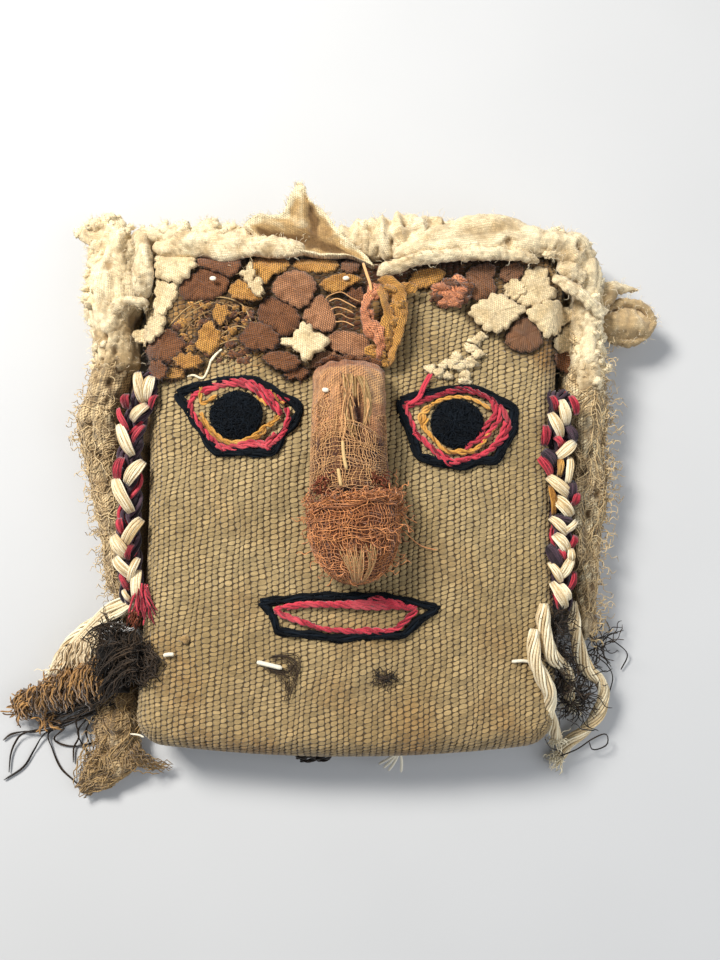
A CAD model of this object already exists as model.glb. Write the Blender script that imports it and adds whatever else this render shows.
import math

import bpy
import numpy as np
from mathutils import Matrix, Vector


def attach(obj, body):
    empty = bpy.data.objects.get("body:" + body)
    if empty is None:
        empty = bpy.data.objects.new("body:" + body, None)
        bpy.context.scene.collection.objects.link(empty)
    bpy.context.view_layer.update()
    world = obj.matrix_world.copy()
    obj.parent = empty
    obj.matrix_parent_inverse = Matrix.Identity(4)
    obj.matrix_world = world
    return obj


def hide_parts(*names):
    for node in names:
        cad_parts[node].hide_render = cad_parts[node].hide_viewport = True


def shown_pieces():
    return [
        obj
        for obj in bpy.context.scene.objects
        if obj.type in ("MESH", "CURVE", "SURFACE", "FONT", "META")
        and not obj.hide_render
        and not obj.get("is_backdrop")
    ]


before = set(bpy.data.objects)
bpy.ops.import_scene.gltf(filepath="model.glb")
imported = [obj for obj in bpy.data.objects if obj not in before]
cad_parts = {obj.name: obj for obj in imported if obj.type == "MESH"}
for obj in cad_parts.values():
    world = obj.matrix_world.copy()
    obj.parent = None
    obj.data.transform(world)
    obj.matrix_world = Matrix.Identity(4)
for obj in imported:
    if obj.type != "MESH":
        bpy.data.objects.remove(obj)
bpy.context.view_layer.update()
print("frame loaded:", len(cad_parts), "solids")

# Everything below is worked out in millimetres and turned into metres when a mesh is made
mm = 0.001
fullTurn = 2 * math.pi
skyward = np.array([0.0, 0.0, 1.0])
# from one yarn to the next in the small woven pieces
weavePitch = 0.6


# Camera, straight over the mask and a little towards its chin
cameraSet = {"target": (3.4, 5.6, 22), "elevation": 83, "distance": 238, "lens": 42.5, "sensor": 36}


def makeCamera(look):
    data = bpy.data.cameras.new("camera")
    data.lens = look["lens"]
    data.sensor_width = look["sensor"]
    data.sensor_fit = "HORIZONTAL"
    data.clip_start = 0.01
    camera = bpy.data.objects.new("camera", data)
    bpy.context.scene.collection.objects.link(camera)
    lift = math.radians(look["elevation"])
    back = Vector((0, -math.cos(lift), math.sin(lift)))
    camera.location = (Vector(look["target"]) + back * look["distance"]) * mm
    camera.rotation_euler = back.to_track_quat("Z", "Y").to_euler()
    bpy.context.scene.camera = camera


makeCamera(cameraSet)


# Lines and smooth random values


def unit(vectors):
    return vectors / np.maximum(np.linalg.norm(vectors, axis=-1, keepdims=True), 1e-9)


def evenly(line, count):
    # the same line with points spaced evenly along its first three columns
    steps = np.linalg.norm(np.diff(line[:, :3], axis=0), axis=1)
    along = np.concatenate([[0], np.cumsum(steps)])
    at = np.linspace(0, along[-1], count)
    return np.stack([np.interp(at, along, line[:, k]) for k in range(line.shape[1])], axis=1)


def smoothLine(points, count, closed=False):
    # a smooth curve through points placed by hand, flat or not
    p = np.asarray(points, float)
    if closed:
        p = np.vstack([p[-1:], p, p[:2]])
    else:
        p = np.vstack([2 * p[0] - p[1], p, 2 * p[-1] - p[-2]])
    t = np.linspace(0, 1, 12, endpoint=False)[:, None]
    pieces = []
    for a, b, c, d in zip(p, p[1:], p[2:], p[3:]):
        bend = (2 * a - 5 * b + 4 * c - d) * t ** 2 + (3 * b - a - 3 * c + d) * t ** 3
        pieces.append(0.5 * (2 * b + (c - a) * t + bend))
    pieces.append(p[-2][None])
    return evenly(np.vstack(pieces), count)


def waves(points, size, seed):
    # a smooth random value of about -1 to 1 at each point, with swells about `size` long
    random = np.random.default_rng(seed)
    points = np.asarray(points, float)
    total = np.zeros(points.shape[:-1])
    for _ in range(7):
        heading = unit(random.normal(size=points.shape[-1])) * fullTurn / size
        total += np.sin(points @ heading * random.uniform(0.6, 1.5) + random.uniform(0, fullTurn))
    return total / 2.8


def crumple(points, size, seed):
    # sharp creases with soft swells between them, from 0 in a crease to 1
    return np.abs(waves(points, size, seed)) ** 0.7


def routeFrames(route):
    # directions forward, sideways and upward at each point of one line
    forward = unit(np.gradient(route, axis=0))
    side = unit(np.cross(skyward, forward))
    return forward, side, np.cross(forward, side)


def flatSide(forward):
    # the direction to the left of a flat one
    return np.stack([-forward[..., 1], forward[..., 0]], axis=-1)


def aboveFloor(points, clear=0.3):
    # nothing lies lower than this over the floor
    return np.maximum(points, [-np.inf, -np.inf, clear])


def bundleLines(route, offsets, turns, scale=1.0):
    # lines that run beside a route: offsets (N, 2) sideways and upward, turning round it
    _, side, up = routeFrames(route)
    s = np.linspace(0, 1, len(route))
    turn = fullTurn * turns * s
    cos, sin = np.cos(turn), np.sin(turn)
    offsets = np.asarray(offsets, float)
    across = (offsets[:, :1] * cos - offsets[:, 1:] * sin) * scale
    rise = (offsets[:, :1] * sin + offsets[:, 1:] * cos) * scale
    return route + across[..., None] * side + rise[..., None] * up


def strayLines(random, starts, headings, lengths, steps=9, curl=0.5, curlLength=4.0, drop=0.0, bend=0.3):
    # loose fibres that leave each start, curl a little and sink
    starts = np.asarray(starts, float)
    n = len(starts)
    headings = unit(np.asarray(headings, float))
    lengths = np.broadcast_to(np.asarray(lengths, float), (n,))[:, None, None]
    s = np.linspace(0, 1, steps)[None, :, None]
    one = unit(np.cross(headings, random.normal(size=(n, 3))))[:, None]
    two = np.cross(headings[:, None], one)
    first = random.uniform(0, fullTurn, (n, 1, 1))
    turns = lengths / curlLength * random.uniform(0.7, 1.3, (n, 1, 1))
    swing = curl * np.sqrt(s) * (np.sin(fullTurn * turns * s + first) - np.sin(first))
    sway = curl * np.sqrt(s) * (np.cos(fullTurn * turns * s + first) - np.cos(first))
    lean = bend * lengths * s ** 2 * random.uniform(-1, 1, (n, 1, 1))
    lines = starts[:, None] + headings[:, None] * lengths * s + one * (swing + lean) + two * sway
    lines[..., 2] -= (drop * lengths * s ** 2)[..., 0]
    return aboveFloor(lines, 0.25)


# Meshes, gathered part by part and made in one go


def newPiece():
    return {"points": [], "tone": [], "weave": [], "faces": {3: [], 4: []},
            "finish": {3: [], 4: []}, "count": 0}


def addFaces(piece, points, faces, tone=0.5, weave=None, finish=0):
    # faces is a list of index arrays, each for triangles or for four-sided faces
    points = np.asarray(points, float).reshape(-1, 3)
    piece["points"].append(points)
    piece["tone"].append(np.broadcast_to(np.asarray(tone, float).ravel(), (len(points),)))
    piece["weave"].append(np.zeros((len(points), 3)) if weave is None else np.asarray(weave).reshape(-1, 3))
    for block in faces:
        corners = block.shape[1]
        piece["faces"][corners].append(block + piece["count"])
        piece["finish"][corners].append(np.full(len(block), finish))
    piece["count"] += len(points)


def gridFaces(rows, columns, wrap=False):
    r = np.arange(rows - 1)[:, None]
    c = np.arange(columns if wrap else columns - 1)[None]
    nextC = (c + 1) % columns
    corners = [r * columns + c, r * columns + nextC, (r + 1) * columns + nextC, (r + 1) * columns + c]
    return np.stack([np.broadcast_to(k, (rows - 1, c.shape[1])).ravel() for k in corners], axis=1)


def addTubes(piece, lines, radius, sides=5, tone=0.5, finish=0, taper=(0.5, 0.5)):
    # round yarns, threads or hairs along lines (N, P, 3)
    lines = np.asarray(lines, float)
    if lines.ndim == 2:
        lines = lines[None]
    count, steps = lines.shape[:2]
    radii = np.broadcast_to(np.asarray(radius, float), (count,)) if np.ndim(radius) < 2 else radius
    radii = np.array(np.broadcast_to(radii[:, None] if radii.ndim == 1 else radii, (count, steps)))
    radii[:, 0] *= taper[0]
    radii[:, -1] *= taper[1]
    forward = unit(np.gradient(lines, axis=1))
    across = np.zeros_like(lines)
    across[:, 0] = unit(np.cross(forward[:, 0], [0.31, 0.17, 0.94]))
    for k in range(1, steps):
        last = across[:, k - 1]
        across[:, k] = unit(last - forward[:, k] * np.sum(last * forward[:, k], axis=1, keepdims=True))
    up = np.cross(forward, across)
    turn = np.arange(sides) * fullTurn / sides
    ring = across[:, :, None] * np.cos(turn)[:, None] + up[:, :, None] * np.sin(turn)[:, None]
    points = lines[:, :, None] + ring * radii[..., None, None]
    block = gridFaces(steps, sides, wrap=True)
    firsts = (np.arange(count) * steps * sides)[:, None, None]
    quads = (block[None] + firsts).reshape(-1, 4)
    fan = np.stack([np.zeros(sides - 2, int), np.arange(2, sides), np.arange(1, sides - 1)], axis=1)
    ends = np.concatenate([fan, fan[:, ::-1] + (steps - 1) * sides])
    caps = (ends[None] + firsts).reshape(-1, 3)
    tones = np.repeat(np.broadcast_to(np.asarray(tone, float), (count,)), steps * sides)
    addFaces(piece, points, [quads, caps], tones, None, finish)


def addStray(piece, random, starts, headings, reach, radius, tone=(0, 1), sides=3, finish=0,
             taper=(0.5, 0.5), settle=None, **curling):
    # loose fibres of uneven length from each start; settle lays them on what lies below
    count = len(starts)
    lines = strayLines(random, starts, headings, random.uniform(*reach, count), **curling)
    if settle:
        lines = settle(lines)
    tones = random.uniform(*tone, count) if np.ndim(tone) else tone
    addTubes(piece, lines, radius, sides, tones, finish, taper)


def addClosedGrid(piece, points, tone=0.5, weave=None, finish=0):
    # a grid (rows, around, 3) that closes on itself around, with its two ends drawn together
    rows, around = points.shape[:2]
    ends = np.stack([points[0].mean(0), points[-1].mean(0)])
    tones = np.broadcast_to(np.asarray(tone, float), (rows, around)).ravel()
    tones = np.concatenate([tones, [tones[0], tones[-1]]])
    if weave is not None:
        weave = np.concatenate([weave.reshape(-1, 3), weave[:1, 0], weave[-1:, 0]])
    c = np.arange(around)
    nextC = (c + 1) % around
    first = np.full(around, rows * around)
    low = np.stack([first, nextC, c], axis=1)
    last = (rows - 1) * around
    high = np.stack([first + 1, last + c, last + nextC], axis=1)
    addFaces(piece, np.concatenate([points.reshape(-1, 3), ends]),
             [gridFaces(rows, around, wrap=True), low, high], tones, weave, finish)


def makePiece(piece, name, materials, slot=None, nodes=()):
    mesh = bpy.data.meshes.new(name)
    points = np.concatenate(piece["points"]) * mm
    sizes = [k for k in (3, 4) if piece["faces"][k]]
    blocks = [np.concatenate(piece["faces"][k]) for k in sizes]
    loops = np.concatenate([b.ravel() for b in blocks])
    totals = np.concatenate([np.full(len(b), b.shape[1]) for b in blocks])
    finish = np.concatenate([np.concatenate(piece["finish"][k]) for k in sizes])
    mesh.vertices.add(len(points))
    mesh.vertices.foreach_set("co", points.astype(np.float32).ravel())
    mesh.loops.add(len(loops))
    mesh.loops.foreach_set("vertex_index", loops.astype(np.int32))
    mesh.polygons.add(len(totals))
    starts = np.concatenate([[0], np.cumsum(totals)[:-1]])
    mesh.polygons.foreach_set("loop_start", starts.astype(np.int32))
    mesh.polygons.foreach_set("loop_total", totals.astype(np.int32))
    for material in materials:
        mesh.materials.append(material)
    mesh.polygons.foreach_set("material_index", finish.astype(np.int32))
    mesh.polygons.foreach_set("use_smooth", np.ones(len(totals), bool))
    tone = mesh.attributes.new("tone", "FLOAT", "POINT")
    tone.data.foreach_set("value", np.concatenate(piece["tone"]).astype(np.float32))
    weave = mesh.attributes.new("weave", "FLOAT_VECTOR", "POINT")
    weave.data.foreach_set("vector", np.concatenate(piece["weave"]).astype(np.float32).ravel())
    mesh.update(calc_edges=True)
    made = bpy.data.objects.new(name, mesh)
    bpy.context.scene.collection.objects.link(made)
    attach(made, "root")
    if nodes:
        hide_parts(*nodes)
    return made


# Materials


def linear(red, green, blue):
    value = np.array([red, green, blue]) / 255
    bright = ((value + 0.055) / 1.055) ** 2.4
    return (*np.where(value <= 0.04045, value / 12.92, bright), 1.0)


def addNode(tree, kind, **settings):
    node = tree.nodes.new("ShaderNode" + kind)
    for key, value in settings.items():
        setattr(node, key, value)
    return node


def feed(tree, socket, value):
    # a plain value is set on the socket, an output is linked to it
    if isinstance(value, bpy.types.NodeSocket):
        tree.links.new(value, socket)
    else:
        socket.default_value = value


def calc(tree, operation, *values):
    node = addNode(tree, "Math", operation=operation)
    for socket, value in zip(node.inputs, values):
        feed(tree, socket, value)
    return node.outputs[0]


def mixColours(tree, share, first, second):
    node = addNode(tree, "Mix", data_type="RGBA", blend_type="MIX")
    feed(tree, node.inputs[0], share)
    feed(tree, node.inputs[6], first)
    feed(tree, node.inputs[7], second)
    return node.outputs[2]


def cloudy(tree, size, detail=2.0, stretch=None):
    # noise with clouds about `size` millimetres wide
    place = addNode(tree, "TexCoord").outputs["Object"]
    if stretch:
        mapping = addNode(tree, "Mapping")
        feed(tree, mapping.inputs["Vector"], place)
        mapping.inputs["Scale"].default_value = stretch
        place = mapping.outputs[0]
    noise = addNode(tree, "TexNoise")
    feed(tree, noise.inputs["Vector"], place)
    noise.inputs["Scale"].default_value = 1 / (size * mm)
    noise.inputs["Detail"].default_value = detail
    return noise.outputs["Fac"]


def spread(tree, value, low, high, start=0.0, end=1.0):
    node = addNode(tree, "MapRange", interpolation_type="SMOOTHSTEP")
    feed(tree, node.inputs[0], value)
    for socket, number in zip(node.inputs[1:5], (low, high, start, end)):
        socket.default_value = number
    return node.outputs[0]


def attribute(tree, name, output):
    return addNode(tree, "Attribute", attribute_name=name).outputs[output]


def startMaterial(name, roughness, sheen=0.25):
    material = bpy.data.materials.new(name)
    material.use_nodes = True
    shader = material.node_tree.nodes["Principled BSDF"]
    shader.inputs["Roughness"].default_value = roughness
    shader.inputs["Specular IOR Level"].default_value = 0.25
    shader.inputs["Sheen Weight"].default_value = sheen
    shader.inputs["Sheen Roughness"].default_value = 0.5
    return material, material.node_tree, shader


def addBump(tree, shader, height, distance, strength, before=None):
    bump = addNode(tree, "Bump")
    bump.inputs["Strength"].default_value = strength
    bump.inputs["Distance"].default_value = distance * mm
    feed(tree, bump.inputs["Height"], height)
    if before:
        feed(tree, bump.inputs["Normal"], before)
    feed(tree, shader.inputs["Normal"], bump.outputs[0])
    return bump.outputs[0]


def yarnMaterial(name, deep, light, faded, fadeShare=0.3, roughness=0.9, sheen=0.3, fibre=0.35):
    # spun yarn or hair: each strand has its own tone, with fibres, and it fades in patches
    material, tree, shader = startMaterial(name, roughness, sheen)
    tone = attribute(tree, "tone", "Fac")
    fine = cloudy(tree, 0.5, 3.0)
    share = calc(tree, "MULTIPLY_ADD", fine, 0.9, calc(tree, "MULTIPLY_ADD", tone, 0.9, -0.42))
    colour = mixColours(tree, spread(tree, share, 0.0, 1.0), linear(*deep), linear(*light))
    patchy = spread(tree, cloudy(tree, 9.0), 0.52, 0.72, 0.0, fadeShare)
    feed(tree, shader.inputs["Base Color"], mixColours(tree, patchy, colour, linear(*faded)))
    addBump(tree, shader, cloudy(tree, fibre, 4.0), 0.12, 0.8)
    return material


# how far each stitch of the weave leans and strays, and how round it is across and along
stitchForm = {"lean": 0.34, "drift": 0.18, "across": 0.84, "along": 0.82}


def weaveNodes(tree):
    # how high a woven yarn stands in its cell, a random value of that cell, and the stain there
    parts = addNode(tree, "SeparateXYZ")
    feed(tree, parts.inputs[0], attribute(tree, "weave", "Vector"))
    drift = addNode(tree, "TexNoise")
    feed(tree, drift.inputs["Vector"], addNode(tree, "TexCoord").outputs["Object"])
    drift.inputs["Scale"].default_value = 1 / (1.7 * mm)
    pulls = addNode(tree, "SeparateXYZ")
    feed(tree, pulls.inputs[0], drift.outputs["Color"])
    u, v = (calc(tree, "MULTIPLY_ADD", calc(tree, "SUBTRACT", pulls.outputs[k], 0.5), stitchForm["drift"],
                 parts.outputs[k]) for k in (0, 1))
    column = calc(tree, "FLOOR", u)
    across = calc(tree, "SUBTRACT", calc(tree, "FRACT", u), 0.5)
    shifted = calc(tree, "ADD", v, calc(tree, "FRACT", calc(tree, "MULTIPLY", column, 0.5)))
    shifted = calc(tree, "MULTIPLY_ADD", across, stitchForm["lean"], shifted)
    along = calc(tree, "SUBTRACT", calc(tree, "FRACT", shifted), 0.5)
    cell = addNode(tree, "CombineXYZ")
    feed(tree, cell.inputs[0], column)
    feed(tree, cell.inputs[1], calc(tree, "FLOOR", shifted))
    chance = addNode(tree, "TexWhiteNoise", noise_dimensions="2D")
    feed(tree, chance.inputs["Vector"], cell.outputs[0])
    cubed = calc(tree, "POWER", calc(tree, "ABSOLUTE", across), 3.0)
    wide = calc(tree, "MULTIPLY", cubed, 8 * stitchForm["across"])
    tall = calc(tree, "MULTIPLY", calc(tree, "MULTIPLY", along, along), 4 * stitchForm["along"])
    size = calc(tree, "MULTIPLY_ADD", chance.outputs["Value"], 0.35, 0.82)
    fall = calc(tree, "MULTIPLY", calc(tree, "ADD", wide, tall), size)
    height = calc(tree, "MAXIMUM", calc(tree, "SUBTRACT", 1.0, fall), 0.0)
    return height, chance.outputs["Value"], parts.outputs[2]


def clothMaterial(name, gaps, yarn, worn, depth, wornShare, wornSize, stained=(124, 82, 44),
                  pale=(236, 220, 180), edge=0.42, deep=None):
    # plain weave, darker between the yarns, with each stitch its own shade, worn patches and stains
    material, tree, shader = startMaterial(name, 0.93)
    height, chance, stain = weaveNodes(tree)
    raised = spread(tree, height, 0.0, edge)
    own = calc(tree, "MULTIPLY_ADD", chance, 0.4, 0.8)
    slubs = calc(tree, "MULTIPLY_ADD", cloudy(tree, 0.8, 3.0, (0.5, 1.5, 1.0)), 0.8, 0.6)
    own = calc(tree, "MULTIPLY", own, slubs)
    clouds = calc(tree, "MULTIPLY_ADD", cloudy(tree, 5.0, 3.0), 0.5, 0.75)
    patch = spread(tree, cloudy(tree, wornSize, 4.0), 0.42, 0.68, 0.0, wornShare)
    colour = mixColours(tree, patch, linear(*yarn), linear(*worn))
    ragged = calc(tree, "MULTIPLY", stain, calc(tree, "MULTIPLY_ADD", cloudy(tree, 2.4, 4.0), 1.4, 0.3))
    colour = mixColours(tree, spread(tree, ragged, 0.0, 1.0), colour, linear(*stained))
    colour = mixColours(tree, spread(tree, ragged, -1.0, 0.0, 1.0, 0.0), colour, linear(*pale))
    if deep:
        colour = mixColours(tree, spread(tree, ragged, 0.9, 1.5), colour, linear(*deep))
    shaded = addNode(tree, "VectorMath", operation="SCALE")
    feed(tree, shaded.inputs[0], colour)
    feed(tree, shaded.inputs["Scale"], calc(tree, "MULTIPLY", own, clouds))
    tone = attribute(tree, "tone", "Fac")
    lit = calc(tree, "MULTIPLY", raised, spread(tree, tone, 0.0, 0.6))
    feed(tree, shader.inputs["Base Color"], mixColours(tree, lit, linear(*gaps), shaded.outputs[0]))
    fibres = addBump(tree, shader, cloudy(tree, 0.3, 4.0), 0.08, 0.7)
    addBump(tree, shader, raised, depth, 0.8, fibres)
    return material


def plainMaterial(name, colour):
    material, tree, shader = startMaterial(name, 0.8, 0.0)
    base = mixColours(tree, spread(tree, cloudy(tree, 60.0), 0.3, 0.7, 0.0, 0.12), linear(*colour),
                      linear(*(0.93 * c for c in colour)))
    feed(tree, shader.inputs["Base Color"], base)
    return material


materials = {
    "face": clothMaterial("face_cloth", (76, 58, 32), (166, 144, 102), (141, 118, 76), 0.6, 0.6, 26.0,
                          (142, 106, 60), edge=0.5, deep=(74, 42, 24)),
    "brown": clothMaterial("patch_brown", (34, 18, 9), (132, 82, 46), (98, 56, 28), 0.2, 0.7, 4.0, edge=0.7),
    "rose": clothMaterial("patch_rose", (56, 30, 17), (180, 126, 86), (132, 84, 50), 0.2, 0.7, 4.0,
                          edge=0.7),
    "ochre": clothMaterial("patch_ochre", (62, 38, 14), (204, 148, 70), (156, 104, 44), 0.2, 0.7, 5.0,
                           edge=0.62),
    "salmon": clothMaterial("patch_salmon", (84, 42, 24), (216, 142, 98), (172, 98, 58), 0.2, 0.6, 5.0,
                            edge=0.6),
    "cream": clothMaterial("patch_cream", (170, 146, 104), (228, 207, 165), (198, 173, 128), 0.1, 0.8, 4.0,
                           edge=0.36),
    "cotton": clothMaterial("cotton", (158, 132, 94), (246, 229, 190), (224, 200, 156), 0.05, 0.8, 9.0,
                            (184, 158, 116), edge=0.3),
    "flap": clothMaterial("flap_cloth", (120, 90, 52), (184, 152, 102), (160, 126, 80), 0.06, 0.8, 8.0,
                          (108, 80, 46), edge=0.35),
    "gauze": clothMaterial("gauze_cloth", (96, 72, 42), (224, 197, 151), (192, 164, 118), 0.22, 0.8, 7.0,
                           (150, 122, 82), edge=0.5),
    "nose": clothMaterial("nose_cloth", (66, 34, 18), (190, 134, 90), (156, 104, 62), 0.16, 0.6, 8.0,
                          (126, 66, 42), (206, 158, 106)),
    "tip": clothMaterial("tip_cloth", (54, 24, 12), (150, 88, 46), (116, 62, 30), 0.20, 0.6, 6.0),
    "gauzeYarn": yarnMaterial("gauze_yarn", (122, 92, 54), (228, 201, 151), (200, 170, 120)),
    "wornYarn": yarnMaterial("worn_yarn", (100, 74, 40), (186, 154, 104), (156, 122, 74)),
    "noseYarn": yarnMaterial("nose_yarn", (120, 76, 42), (224, 172, 114), (190, 138, 86)),
    "tipYarn": yarnMaterial("tip_yarn", (122, 66, 30), (226, 152, 92), (192, 120, 66)),
    "tipShade": yarnMaterial("tip_dark_yarn", (78, 36, 24), (150, 84, 58), (124, 62, 40), sheen=0.0),
    "straw": yarnMaterial("straw", (128, 96, 56), (206, 174, 120), (170, 138, 88), 0.4, 0.55, 0.0, 0.9),
    "navy": yarnMaterial("navy_yarn", (3, 6, 10), (11, 20, 29), (15, 25, 34), 0.4, 0.95, 0.0),
    "red": yarnMaterial("red_yarn", (112, 16, 30), (202, 58, 74), (214, 96, 102), 0.5),
    "gold": yarnMaterial("gold_yarn", (124, 78, 20), (216, 158, 70), (222, 180, 110), 0.5),
    "creamYarn": yarnMaterial("cream_yarn", (196, 168, 120), (250, 238, 206), (236, 216, 172), 0.3),
    "purple": yarnMaterial("purple_yarn", (26, 16, 24), (72, 52, 64), (92, 68, 76), 0.4),
    "hair": yarnMaterial("dark_hair", (12, 8, 5), (66, 50, 34), (84, 64, 42), 0.3, 0.55, 0.1, 0.9),
    "wool": yarnMaterial("brown_wool", (56, 36, 16), (184, 138, 80), (156, 112, 62), 0.5),
    "beigeWool": yarnMaterial("beige_wool", (172, 144, 104), (238, 218, 180), (212, 184, 140), 0.4),
    "white": yarnMaterial("white_thread", (190, 180, 152), (242, 234, 212), (230, 220, 194), 0.2),
    "fluff": yarnMaterial("cotton_fluff", (214, 190, 146), (250, 236, 204), (238, 220, 182), 0.3),
}
print("materials made:", len(materials))


# The pad's form, the same as the solid's

pad = {
    "topY": 73, "bottomY": -71, "bottomRise": 4,
    "left": (-62, -57.3, -59.5), "right": (65, 59.2, 57),
    "rim": 12, "band": 1, "roll": 7, "underRoll": 7,
    "shoulder": 21.5, "crown": 26, "cornerRadius": 8,
}


def sideX(side, y):
    top, middle, bottom = pad[side]
    reach = np.where(y > 0, y / pad["topY"], y / pad["bottomY"])
    return middle + (np.where(y > 0, top, bottom) - middle) * reach ** 2


def bottomAt(x):
    halfWidth = (pad["right"][2] - pad["left"][2]) / 2
    return pad["bottomY"] + pad["bottomRise"] * (x / halfWidth) ** 2


def quarterRound(distance, reach):
    return np.sqrt(1 - (1 - np.clip(distance / reach, 0, 1)) ** 2)


def insetOf(x, y):
    dx = np.minimum(x - sideX("left", y), sideX("right", y) - x)
    dy = np.minimum(pad["topY"] - y, y - bottomAt(x))
    radius = pad["cornerRadius"]
    corner = radius - np.hypot(radius - dx, radius - dy)
    return np.where((dx < radius) & (dy < radius), corner, np.minimum(dx, dy))


def faceHeight(x, y):
    x, y = np.asarray(x, float), np.asarray(y, float)
    left, right = sideX("left", y), sideX("right", y)
    u = np.clip(np.abs(2 * x - left - right) / (right - left), 0, 1)
    middleY = (pad["topY"] + pad["bottomY"]) / 2
    v = np.clip(np.abs(y - middleY) / (pad["topY"] - middleY), 0, 1)
    dome = pad["shoulder"] + (pad["crown"] - pad["shoulder"]) * (1 - u * u) * (1 - v * v)
    base = pad["rim"] + pad["band"]
    return base + (dome - base) * quarterRound(insetOf(x, y), pad["roll"])


def onFace(points, lift):
    # flat points (x, y) laid on the face, that much above it
    points = np.asarray(points, float)
    height = faceHeight(points[..., 0], points[..., 1]) + lift
    return np.concatenate([points[..., :2], height[..., None]], axis=-1)


def weaveHeight(u, v, strength):
    # the same weave as the cloth's; each stitch keeps one strength, so the yarn looks uneven
    column = np.floor(u)
    across = u - column - 0.5
    shifted = v + (column * 0.5) % 1 + stitchForm["lean"] * across
    row = np.floor(shifted)
    along = shifted - row - 0.5
    own = strength[row.astype(int) % len(strength), column.astype(int) % len(strength[0])]
    fall = 8 * stitchForm["across"] * np.abs(across) ** 3 + 4 * stitchForm["along"] * along ** 2
    return own * np.clip(1 - fall, 0, None)


# The headband's patches: finish, layer and the outline each was cut to

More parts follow.
